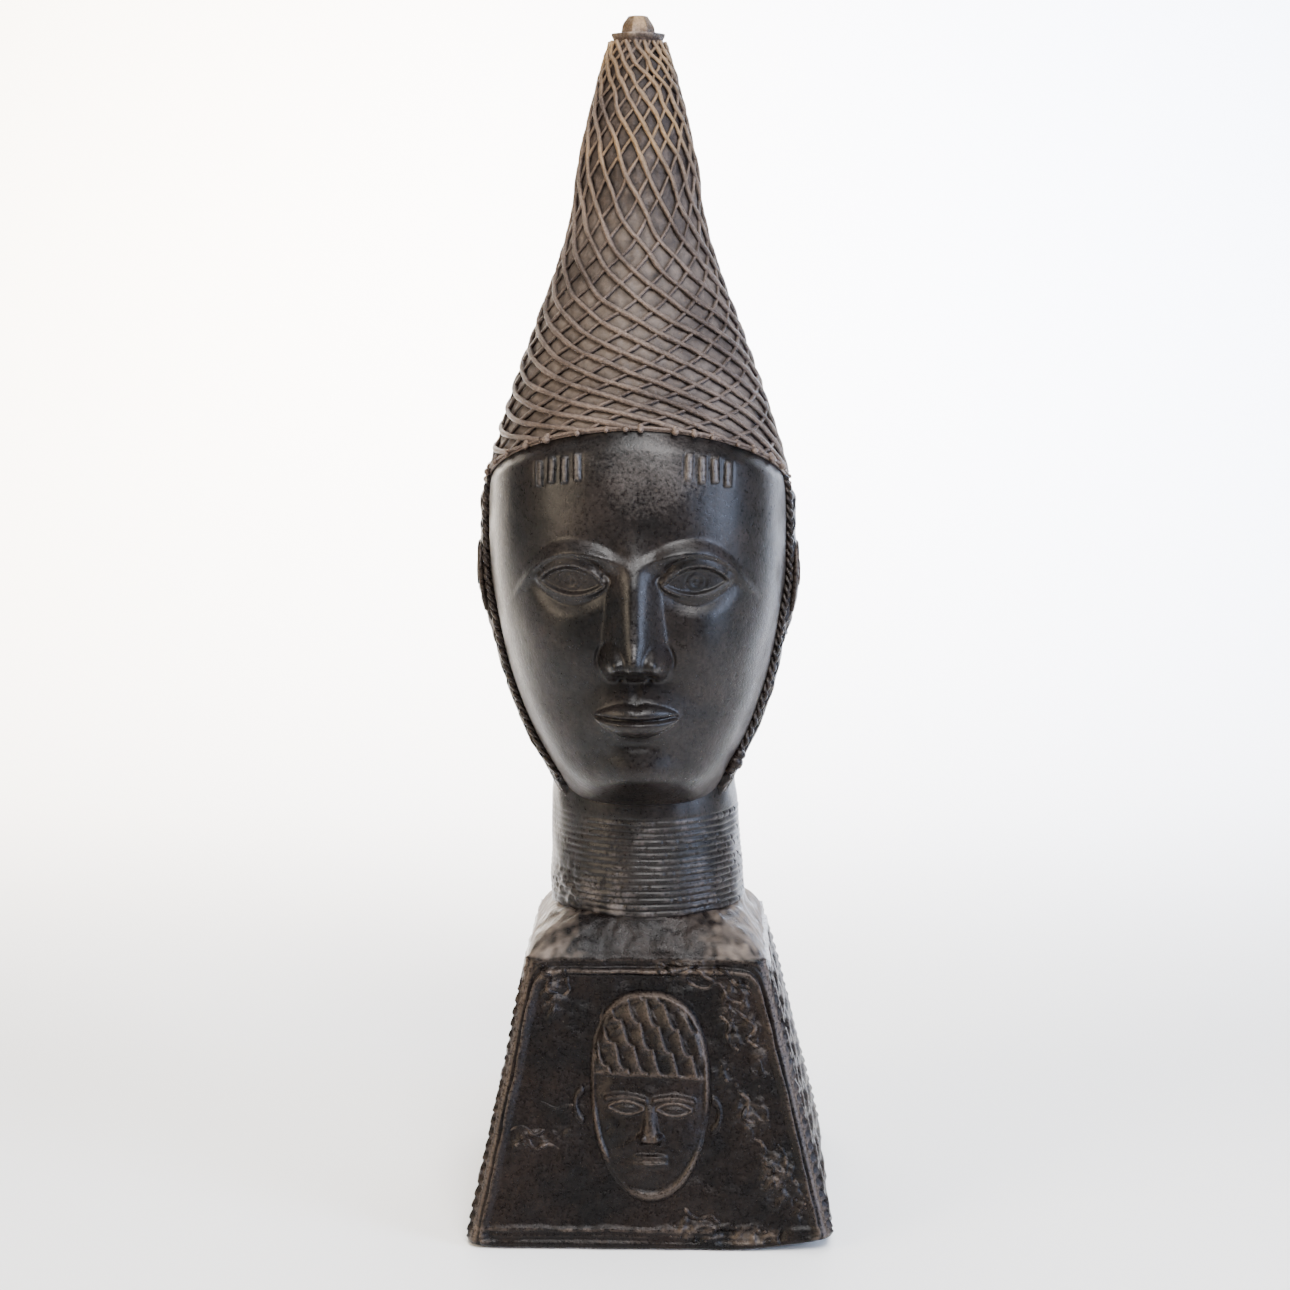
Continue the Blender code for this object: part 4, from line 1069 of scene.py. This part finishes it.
def front_relief(x, z, settings):
    """The front of the base: border, sunk panel, rail and rough casting. Also marks for wear and dust, where
    the wear on the rough folds also paints highlights.
    """
    base = settings.base
    half = base_half(z)
    points = upright(x, z)
    out, sunk, nearest = panel_border(x, z, half, base.border_height)
    rough = np.zeros_like(x)
    for spot_x, spot_z, wide, tall, strength in ROUGH_SPOTS:
        spot = bump(x, z, spot_x / 1000, spot_z / 1000, wide / 1000, tall / 1000)
        rough = np.maximum(rough, strength * np.sqrt(spot))
    folds = np.maximum(0.0, 1 - 2.2 * np.abs(lumps(points, 0.0075, 41)))
    small = lumps(points, 0.0032, 42)
    out = out + base.casting_roughness * rough * (0.75 * folds ** 2 + 0.55 * small)
    out = out + 0.0010 * lumps(points, 0.021, 43) + 0.00045 * lumps(points, 0.0055, 44)
    # The rail along the foot: thin lines at the left, broken up in the middle, missing before the corner
    lines = sum(ridge(z - line, 0.0006) for line in (0.0030, 0.0060, 0.0092))
    left = ease((0.010 - x) / 0.02)
    rail = ease((0.0125 - z) / 0.003)
    gone = ease((x - 0.036) / 0.010) * ease((0.076 - x) / 0.006)
    crest = ridge(z - 0.0112 - 0.0011 * lumps(points, 0.011, 49), 0.0014) * ease((0.042 - x) / 0.006)
    out = out - 0.0009 * lines * left * rail + 0.0013 * crest * sunk
    out = out - rail * gone * (0.0024 + 0.0012 * small) + 0.0012 * rail * ease((x - 0.080) / 0.004)
    out = out - 0.0040 * ridge(x - 0.0772 - 0.15 * (z - 0.005), 0.0011) * ease((0.014 - z) / 0.006)
    wear = 0.48 * ridge(nearest - 0.0074, 0.0014) + 0.32 * ridge(nearest - 0.0008, 0.0022)
    # The crests of the rough spots' folds are marked as wear: worn metal, and also a painted highlight
    wear = wear + rough * folds * 0.42 + 0.22 * rail * (1 - lines)
    wear = wear + 0.36 * crest * (0.7 + 1.0 * small) + 0.10 * lumps(points, 0.010, 47)
    dust = 0.22 * rough * (1 - folds) + 0.14 * gone * rail + 0.12 * lumps(points, 0.030, 48)
    dust = dust + 0.20 * ease((0.012 - (BASE_HEIGHT - z)) / 0.012) * (1 - sunk)
    return out, wear, dust


def side_relief(across, z, settings, plain):
    """A side or the back: the same border round upright plaited bands, which are lower on the back."""
    base = settings.base
    out, sunk, nearest = panel_border(across, z, base_half(z), base.border_height)
    points = np.stack([across, 0 * across + 0.3 * plain, z], axis=-1)
    width = base.plait_width
    bands = np.zeros_like(across)
    for middle in (-0.62, 0.0, 0.62):
        bands = np.maximum(bands, plait(across - middle * base_half(z), z + 0.004 * middle, width))
    edge = plait(base_half(z) - np.abs(across) - 0.0045, z, 0.009)
    height = 0.0034 if plain < 1 else 0.0022
    out = out + sunk * height * bands + (1 - sunk) * 0.0018 * edge
    out = out + 0.0006 * lumps(points, 0.020, 45) + 0.00025 * lumps(points, 0.005, 46)
    wear = sunk * bands * 0.50 + (1 - sunk) * 0.45 * edge + 0.36 * ridge(nearest - 0.0008, 0.0022)
    return out, wear, 0.3 * sunk * (1 - bands)


def make_base(settings):
    """The four-sided base: bordered sides, a broken front corner, and the shoulder up to the neck."""
    columns = [np.linspace(-1, 1, count, endpoint=False) for count in (210, 84, 66, 84)]
    side_number = np.concatenate([np.full(len(part), i) for i, part in enumerate(columns)])
    u = np.concatenate(columns)
    turn = side_number * math.pi / 2 + np.arctan(u)
    s, c = np.sin(turn), np.cos(turn)
    sides = np.linspace(0.0042, BASE_HEIGHT - 0.0012, 172)
    shoulder = np.linspace(0.0, 1.45, 26)
    swell = np.where(shoulder < 1, 1 - (1 - np.minimum(shoulder, 1.0)) ** 1.7, shoulder)
    # The foot: a flat underside and a rounded edge
    foot_heights = [0.0, 0.0, 0.0007, 0.0021]
    foot_halves = [0.03, *(base_half(0) - np.array([0.0058, 0.0030, 0.0012]))]
    foot = len(foot_heights)
    heights = [*foot_heights, *sides, *(BASE_HEIGHT + swell * SHOULDER_RISE)]
    wide = through(SHOULDER_WIDTHS, shoulder) * BASE_TOP_WIDTH / 2
    halves = [*foot_halves, *base_half(sides), *(wide + (NECK_WIDTH / 2 - wide) * ease(shoulder) * 0.9)]
    powers = [20.0] * (foot + len(sides)) + list(through(SHOULDER_SQUARENESS, shoulder))
    z, half, power = (np.array(column)[:, None] for column in (heights, halves, powers))
    reach = half / (np.abs(s) ** power + np.abs(c) ** power) ** (1 / power)
    across = np.clip(u[None, :], -1, 1) * half
    flat = z + 0 * across
    out, wear, dust = np.zeros_like(across), np.zeros_like(across), np.zeros_like(across)
    sloped = slice(foot, foot + len(sides))
    for number in range(4):
        chosen = side_number == number
        x = across[sloped][:, chosen]
        up = flat[sloped][:, chosen]
        found = front_relief(x, up, settings) if number == 0 else side_relief(x, up, settings, number == 2)
        for store, values in zip((out, wear, dust), found):
            store[sloped, chosen] = values
    corner = ease((np.abs(u) - 0.93) / 0.05)[None, :]
    out = out * (1 - corner) + corner * -0.0004
    rows = np.stack([reach * s, -reach * c, flat], axis=-1)
    uneven = lumps(rows, 0.014, 51)
    on_top = (flat > BASE_HEIGHT - 0.001).astype(float)
    out = out + 0.0007 * uneven * (flat > 0.001)
    rows[..., 2] += on_top * (0.0011 * lumps(rows, 0.0075, 52) + 0.0005 * lumps(rows, 0.0035, 53))
    rows[..., 0] += out * s
    rows[..., 1] -= out * c
    rows[..., 2] += 0.0008 * on_top * uneven
    # The corner at +X stands a little off the ground
    off = ease((rows[..., 0] - BASE_WIDTH / 2 + LIFT_LENGTH) / LIFT_LENGTH)
    forward = (-rows[..., 1] - BASE_WIDTH / 2 + LIFT_LENGTH * 0.75) / (LIFT_LENGTH * 0.5)
    off = CORNER_LIFT * off * ease(forward)
    rows[..., 2] += off * np.clip(1 - rows[..., 2] / 0.03, 0.0, 1.0)
    piece = ring_piece("base", leaning(rows))
    middle = np.exp(-(rows[..., 0] / 0.030) ** 2)
    broken = np.clip(0.9 + 0.9 * lumps(rows, 0.0042, 54), 0.2, 1.4)
    beside = ease((np.abs(rows[..., 0]) - 0.026) / 0.045)
    dust = dust + on_top * (0.28 + 0.20 * uneven + 0.62 * beside - 0.20 * middle) * broken
    wear = wear + 0.22 * corner * (flat > 0.001) + 0.12 * on_top
    hand_in(piece, finish(settings, "dark_base_bronze"), wear=wear, dust=dust)


def relief_height(x, z):
    """The relief head on the front: its hat of serrated leaves, its plain even face and its contour line."""
    half = RELIEF_WIDTH / 2
    middle = RELIEF_FOOT + RELIEF_HEIGHT * 0.55
    top = RELIEF_FOOT + RELIEF_HEIGHT
    shift = 0.001
    x = x - shift
    above = z > middle
    power = np.where(above, 2.5, 2.1)
    tall = np.where(above, top - middle, middle - RELIEF_FOOT)
    edge = (np.abs(x / half) ** power + np.abs((z - middle) / tall) ** power) ** (1 / power)
    inside = ease((1.0 - edge) / 0.10)
    line = ridge((edge - 1.0) * half, 0.0014)
    dome = np.sqrt(np.maximum(0.0, 1 - edge ** 2))
    band_z = RELIEF_FOOT + RELIEF_HEIGHT * 0.60 - 0.055 * x
    hat = ease((z - band_z) / 0.0012)
    fading = np.clip(0.85 + 1.1 * lumps(upright(x, z), 0.026, 63), 0.25, 1.15)
    line = line * fading
    out = 0.0064 * dome + 0.0028 * line
    # Leaves overlap like feathers: each rises to its right edge and drops, and the edge has small teeth
    leaf_width, slant = 0.0104, 0.52
    course = x + slant * (z - band_z)
    along = z - slant * x
    course = course + 0.0012 * lumps(upright(x, z), 0.012, 62)
    number = np.floor(course / leaf_width)
    step = (along / 0.0185 + 0.41 * number) % 1
    scallop = 3.0 * (1 - step) ** 1.6 * step ** 0.5
    leaf = ((course + 0.0030 * scallop) / leaf_width) % 1
    out = out + hat * inside * (0.0004 + 0.0036 * leaf ** 1.5 * ease((1 - leaf) / 0.10))
    vein = ridge((leaf - 0.9) * 0.0122, 0.0007)
    out = out + inside * 0.0013 * ridge(z - band_z, 0.0009)
    # The face: eyes, brows, nose and lips on even thirds
    face = band_z - RELIEF_FOOT
    side = np.abs(x)
    eye_x, eye_z = 0.42 * half, band_z - 0.27 * face
    s = (side - eye_x) / (0.30 * half)
    lid = 0.0030 * np.maximum(0.0, 1 - s ** 2)
    gap = np.abs(z - eye_z) - lid
    near = np.where(np.abs(s) < 1.05, ridge(gap - 0.0005, 0.0009), 0.0)
    skin = (1 - hat) * inside
    out = out + skin * (0.0015 * near + 0.0020 * bump(side, z, eye_x, eye_z, 0.28 * half, 0.0034))
    brow_z = eye_z + 0.0062 - 14 * (side - eye_x) ** 2
    brow = ridge(z - brow_z, 0.0018) * ease((0.40 * half - np.abs(side - eye_x)) / 0.002)
    out = out + skin * 0.0022 * brow
    down = np.clip((eye_z + 0.003 - z) / (0.27 * face), 0.0, 1.0)
    nose = np.maximum(0.0, 1 - (side / (0.0030 + 0.0028 * down)) ** 2)
    nose = nose * ease((z - eye_z + 0.30 * face) / 0.002)
    out = out + skin * (0.0014 + 0.0030 * down) * nose * ease((eye_z + 0.008 - z) / 0.006)
    out = out + skin * 0.0034 * bump(side, z, 0.0052, eye_z - 0.25 * face, 0.0038, 0.0042)
    mouth_z = eye_z - 0.43 * face
    wide = np.maximum(0.0, 1 - (x / 0.0100) ** 2)
    lips = ridge(z - mouth_z - 0.0019, 0.0014) + ridge(z - mouth_z + 0.0021, 0.0016)
    out = out + skin * 0.0022 * np.sqrt(wide) * lips
    for way, centre_x, centre_z in ((-1, -0.0375, 0.0800), (1, 0.0365, 0.0755)):
        ring = np.hypot(x + shift - centre_x, (z - centre_z) * 0.55) - 0.0045
        outer = ease((way * (x + shift - centre_x) + 0.002) / 0.003)
        ear = ridge(ring, 0.0017) * outer
        out = np.maximum(out, 0.0019 * ear)
        line = np.maximum(line, 0.4 * ear)
    shown = np.clip(np.maximum(ease((1.10 - edge) / 0.08), out / 0.0008), 0.0, 1.0)
    wear = 0.55 * line + hat * inside * (0.20 * vein + 0.42 * leaf)
    wear = wear + 0.45 * inside * ridge(z - band_z, 0.0012)
    wear = wear + skin * (0.50 * near + 0.45 * nose * down + 0.4 * np.sqrt(wide) * ridge(z - mouth_z, 0.004))
    wear = wear + skin * 0.35 * brow
    dust = hat * inside * 0.15 * leaf + 0.06 * skin
    return out, shown, wear, dust


# Thin runs and blobs of metal on the front panel, as (x, z) places in millimetres along each
RUNS = [[(8, 160), (17, 156), (27, 158), (36, 152), (45, 147)],
        [(24, 151), (33, 146), (41, 149), (47, 141), (55, 138)],
        [(40, 158), (47, 155), (52, 149), (60, 147)],
        [(50, 135), (56, 131), (62, 124), (58, 118), (65, 113)],
        [(43, 131), (48, 125), (47, 117), (53, 112)], [(-61, 154), (-55, 152), (-57, 145), (-50, 143)],
        [(-59, 138), (-53, 136), (-55, 129), (-48, 127)], [(-47, 156), (-45, 147), (-49, 139)],
        [(-80, 66), (-73, 68), (-66, 64), (-60, 67)],
        [(-76, 58), (-70, 61), (-65, 56), (-58, 59), (-52, 56)],
        [(-62, 82), (-53, 79), (-45, 81), (-40, 77)], [(52, 90), (57, 83), (55, 75), (62, 69)],
        [(61, 63), (67, 58), (65, 50), (72, 46), (70, 38)], [(74, 60), (79, 52), (78, 43)],
        [(20, 24), (27, 18), (36, 20), (41, 14)], [(-24, 134), (-27, 127), (-22, 121)]]


def on_front(x, z, out, up):
    """Points that stand out of the front panel. The panel leans back, so they also move up a little."""
    y = -base_half(z) - out * math.cos(PANEL_SLOPE)
    return np.stack([x, y, z + up * math.sin(PANEL_SLOPE)], axis=-1)


def make_casting_runs(settings):
    """The runs and beads of metal on the front panel, where the mould cracked or the wax was left rough."""
    material = finish(settings, "dark_base_bronze")
    lines, radii = [], []
    for number, run in enumerate(RUNS):
        steps = np.linspace(0, len(run) - 1, 14 * len(run))
        x, z = (through([(i, place[axis] / 1000) for i, place in enumerate(run)], steps) for axis in (0, 1))
        points = upright(x, z)
        x = x + 0.0018 * lumps(points, 0.005, 71 + number)
        panel, _, _ = front_relief(x, z, settings)
        out = panel - 0.0003
        lines.append(leaning(on_front(x, z, out, out)))
        swell = 0.6 + 0.4 * np.sin(np.linspace(0.2, math.pi - 0.2, len(x)))
        swell = swell + 0.5 * lumps(points, 0.006, 91 + number)
        radii.append(0.0014 * np.clip(swell, 0.2, 1.6))
    piece = ribs("casting_runs", lines, radii, material, sides=10, unevenness=0.0012, lump=0.005, seed=11.0)
    hand_in(piece, material, wear=0.26 + 0.7 * lumps(points_of(piece), 0.006, 93))

    # Beads of metal that ran into bubbles in the mould, thickest where the casting is roughest
    chance = np.random.default_rng(17)
    spots, sizes = [], []
    for spot_x, spot_z, wide, tall, strength in ROUGH_SPOTS:
        for _ in range(int(wide * tall * strength / 9)):
            x = (spot_x + chance.uniform(-0.8, 0.8) * wide) / 1000
            z = (spot_z + chance.uniform(-0.8, 0.8) * tall) / 1000
            radius = 0.0004 + 0.0011 * chance.random() ** 2
            if abs(x) > base_half(z) - 0.010 or z < 0.004:
                continue
            panel, _, _ = front_relief(np.array([x]), np.array([z]), settings)
            out = float(panel[0]) - 0.25 * radius
            spots.append(on_front(x, z, out, out))
            sizes.append(radius)
    piece = knots("casting_beads", leaning(np.array(spots)), sizes, material, detail=2, seed=6.0)
    hand_in(piece, material, wear=0.22 + 0.7 * lumps(points_of(piece), 0.008, 94))


def make_base_relief(settings):
    """The small head on the front panel, as one fine plate that sinks into the panel all round."""
    x, z = np.meshgrid(np.linspace(-0.047, 0.047, 200), np.linspace(0.0262, 0.1462, 256))
    panel, _, _ = front_relief(x, z, settings)
    out, shown, wear, dust = relief_height(x, z)
    points = upright(x, z)
    out = out + 0.00025 * lumps(points, 0.004, 61) * shown
    height = panel + out * shown - 0.0010 * (1 - shown)
    piece = plate_piece("base_relief", leaning(on_front(x, z, height, out)), 0.006)
    hand_in(piece, finish(settings, "dark_base_bronze"), wear=wear, dust=dust)


# The stage

def add_light(name, place, aim, size, power, colour, spread=180):
    light = bpy.data.lights.new(name, "AREA")
    light.shape = "RECTANGLE"
    light.size, light.size_y = size
    light.energy = power
    light.color = colour
    light.spread = math.radians(spread)
    lamp = bpy.data.objects.new(name, light)
    lamp.location = place
    lamp.rotation_euler = direction_turn(place, aim)
    bpy.context.scene.collection.objects.link(lamp)


def direction_turn(place, aim):
    """The turn that makes a light or camera at a place look at another place."""
    from_here = [a - p for a, p in zip(aim, place)]
    flat = math.hypot(from_here[0], from_here[1])
    return (math.atan2(flat, -from_here[2]), 0.0, math.atan2(-from_here[0], from_here[1]))


def make_stage(settings):
    """The pale floor that curves up into a backdrop, the soft lights and the camera at the photo's angle."""
    stage = settings.stage
    bend, back, high = 1.2, 2.2, 4.0
    profile = [(-8.0, 0.0), (back - bend, 0.0)]
    arc = np.linspace(0.05, math.pi / 2, 24)
    profile += [(back - bend + bend * math.sin(t), bend - bend * math.cos(t)) for t in arc]
    profile.append((back, high))
    rows = np.array([[(x, y, z - 0.0002) for y, z in profile] for x in (-9.0, 9.0)])
    mesh = bpy.data.meshes.new("floor_and_backdrop")
    faces = [face[::-1] for face in grid_faces(2, len(profile), False)]
    mesh.from_pydata(rows.reshape(-1, 3).tolist(), [], faces)
    mesh.shade_smooth()
    floor = new_piece("floor_and_backdrop", mesh)
    paint = bpy.data.materials.new("matt_white_paint")
    paint.use_nodes = True
    tree = paint.node_tree
    shader = tree.nodes["Principled BSDF"]
    place = add_node(tree, "ShaderNodeTexCoord").outputs["Object"]
    # Roller paint: a faint change of tone over about 0.4 m
    cloud = add_node(tree, "ShaderNodeTexNoise", {"Vector": place, "Scale": 1 / 0.4, "Detail": 2.0})
    pale = tuple(stage.floor)
    darker = tuple(0.98 * channel for channel in pale)
    tone = mixed(tree, cloud.outputs["Fac"], (*darker, 1.0), (*pale, 1.0))
    tree.links.new(tone, shader.inputs["Base Color"])
    shader.inputs["Roughness"].default_value = 0.7
    mesh.materials.append(paint)

    world = bpy.data.worlds.new("soft_room")
    bpy.context.scene.world = world
    world.use_nodes = True
    sky = world.node_tree.nodes["Background"]
    sky.inputs["Color"].default_value = (0.93, 0.95, 1.0, 1.0)
    sky.inputs["Strength"].default_value = 0.20
    middle = (0.0, 0.0, 0.36)
    white = (1.0, 1.0, 1.0)
    add_light("warm_window", (-1.9, -1.3, 1.1), middle, (0.9, 1.6), 14.0, stage.warm_light, 80)
    add_light("cool_window", (1.9, -0.9, 0.9), middle, (0.7, 1.6), 20.0, stage.cool_light, 80)
    add_light("front_softbox", (0.36, -1.47, 1.80), middle, (1.0, 0.9), 24.0, white, 90)
    add_light("floor_wash", (0.0, 0.5, 2.8), (0.0, 0.4, 0.0), (2.4, 1.5), 52.0, white, 140)
    add_light("warm_wall_wash", (-0.8, 0.55, 2.5), (-0.6, 2.0, 0.7), (1.2, 0.8), 142.0, stage.warm_light, 85)
    add_light("cool_wall_wash", (0.8, 0.55, 2.5), (0.6, 2.0, 0.7), (1.2, 0.8), 134.0, stage.cool_light, 85)
    for side in (-1, 1):
        add_light("far_wash", (4.8 * side, -0.8, 3.6), (4.8 * side, 0.6, 0.0), (5.0, 3.0), 30.0, white, 100)

    view = bpy.data.cameras.new("camera")
    view.sensor_width = 36.0
    view.lens = 67.9
    camera = bpy.data.objects.new("camera", view)
    camera.location = (0.0349, -1.4306, 0.559)
    camera.rotation_euler = (math.radians(90 - 8.88), 0.0, math.radians(1.61))
    bpy.context.scene.collection.objects.link(camera)
    bpy.context.scene.camera = camera


# Operators and panel

class BRONZE_HEAD_OT_net_cap(bpy.types.Operator):
    """Make the net cap with its rim"""
    bl_idname = "bronze_head.net_cap"
    bl_label = "Net cap"

    def execute(self, context):
        make_net_cap(context.scene.bronze_head)
        return {"FINISHED"}


class BRONZE_HEAD_OT_finial(bpy.types.Operator):
    """Make the collar and knob at the top"""
    bl_idname = "bronze_head.finial"
    bl_label = "Finial"

    def execute(self, context):
        make_finial(context.scene.bronze_head)
        return {"FINISHED"}


class BRONZE_HEAD_OT_face(bpy.types.Operator):
    """Make the face"""
    bl_idname = "bronze_head.face"
    bl_label = "Face"

    def execute(self, context):
        make_face(context.scene.bronze_head)
        return {"FINISHED"}


class BRONZE_HEAD_OT_hair(bpy.types.Operator):
    """Make the hair cover, its cords and the ears"""
    bl_idname = "bronze_head.hair"
    bl_label = "Hair and ears"

    def execute(self, context):
        make_hair(context.scene.bronze_head)
        return {"FINISHED"}


class BRONZE_HEAD_OT_neck(bpy.types.Operator):
    """Make the ringed neck"""
    bl_idname = "bronze_head.neck"
    bl_label = "Ringed neck"

    def execute(self, context):
        make_neck(context.scene.bronze_head)
        return {"FINISHED"}


class BRONZE_HEAD_OT_base(bpy.types.Operator):
    """Make the base and the relief on its front"""
    bl_idname = "bronze_head.base"
    bl_label = "Base and relief"

    def execute(self, context):
        make_base(context.scene.bronze_head)
        make_base_relief(context.scene.bronze_head)
        make_casting_runs(context.scene.bronze_head)
        return {"FINISHED"}


class BRONZE_HEAD_OT_stage(bpy.types.Operator):
    """Make the floor, the lights and the camera"""
    bl_idname = "bronze_head.stage"
    bl_label = "Stage"

    def execute(self, context):
        make_stage(context.scene.bronze_head)
        return {"FINISHED"}


OPERATORS = [BRONZE_HEAD_OT_stage, BRONZE_HEAD_OT_net_cap, BRONZE_HEAD_OT_finial, BRONZE_HEAD_OT_face,
             BRONZE_HEAD_OT_hair, BRONZE_HEAD_OT_neck, BRONZE_HEAD_OT_base]


class BRONZE_HEAD_PT_panel(bpy.types.Panel):
    bl_label = "Bronze head"
    bl_idname = "BRONZE_HEAD_PT_panel"
    bl_space_type = "VIEW_3D"
    bl_region_type = "UI"
    bl_category = "Bronze head"

    def draw(self, context):
        settings = context.scene.bronze_head
        for operator in OPERATORS:
            self.layout.operator(operator.bl_idname)
        for group in (settings.net, settings.head, settings.neck, settings.base, settings.finish,
                      settings.stage):
            box = self.layout.box()
            for name in group.__annotations__:
                box.prop(group, name)


CLASSES = [NetSettings, HeadSettings, NeckSettings, BaseSettings, FinishSettings, StageSettings,
           BronzeHeadSettings, *OPERATORS, BRONZE_HEAD_PT_panel]


def register():
    for made_class in CLASSES:
        bpy.utils.register_class(made_class)
    bpy.types.Scene.bronze_head = bpy.props.PointerProperty(type=BronzeHeadSettings)


def unregister():
    del bpy.types.Scene.bronze_head
    for made_class in reversed(CLASSES):
        bpy.utils.unregister_class(made_class)


def main():
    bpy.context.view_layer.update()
    register()
    bpy.ops.bronze_head.stage()
    bpy.ops.bronze_head.net_cap()
    bpy.ops.bronze_head.finial()
    bpy.ops.bronze_head.face()
    bpy.ops.bronze_head.hair()
    bpy.ops.bronze_head.neck()
    bpy.ops.bronze_head.base()


if __name__ == "__main__":
    main()
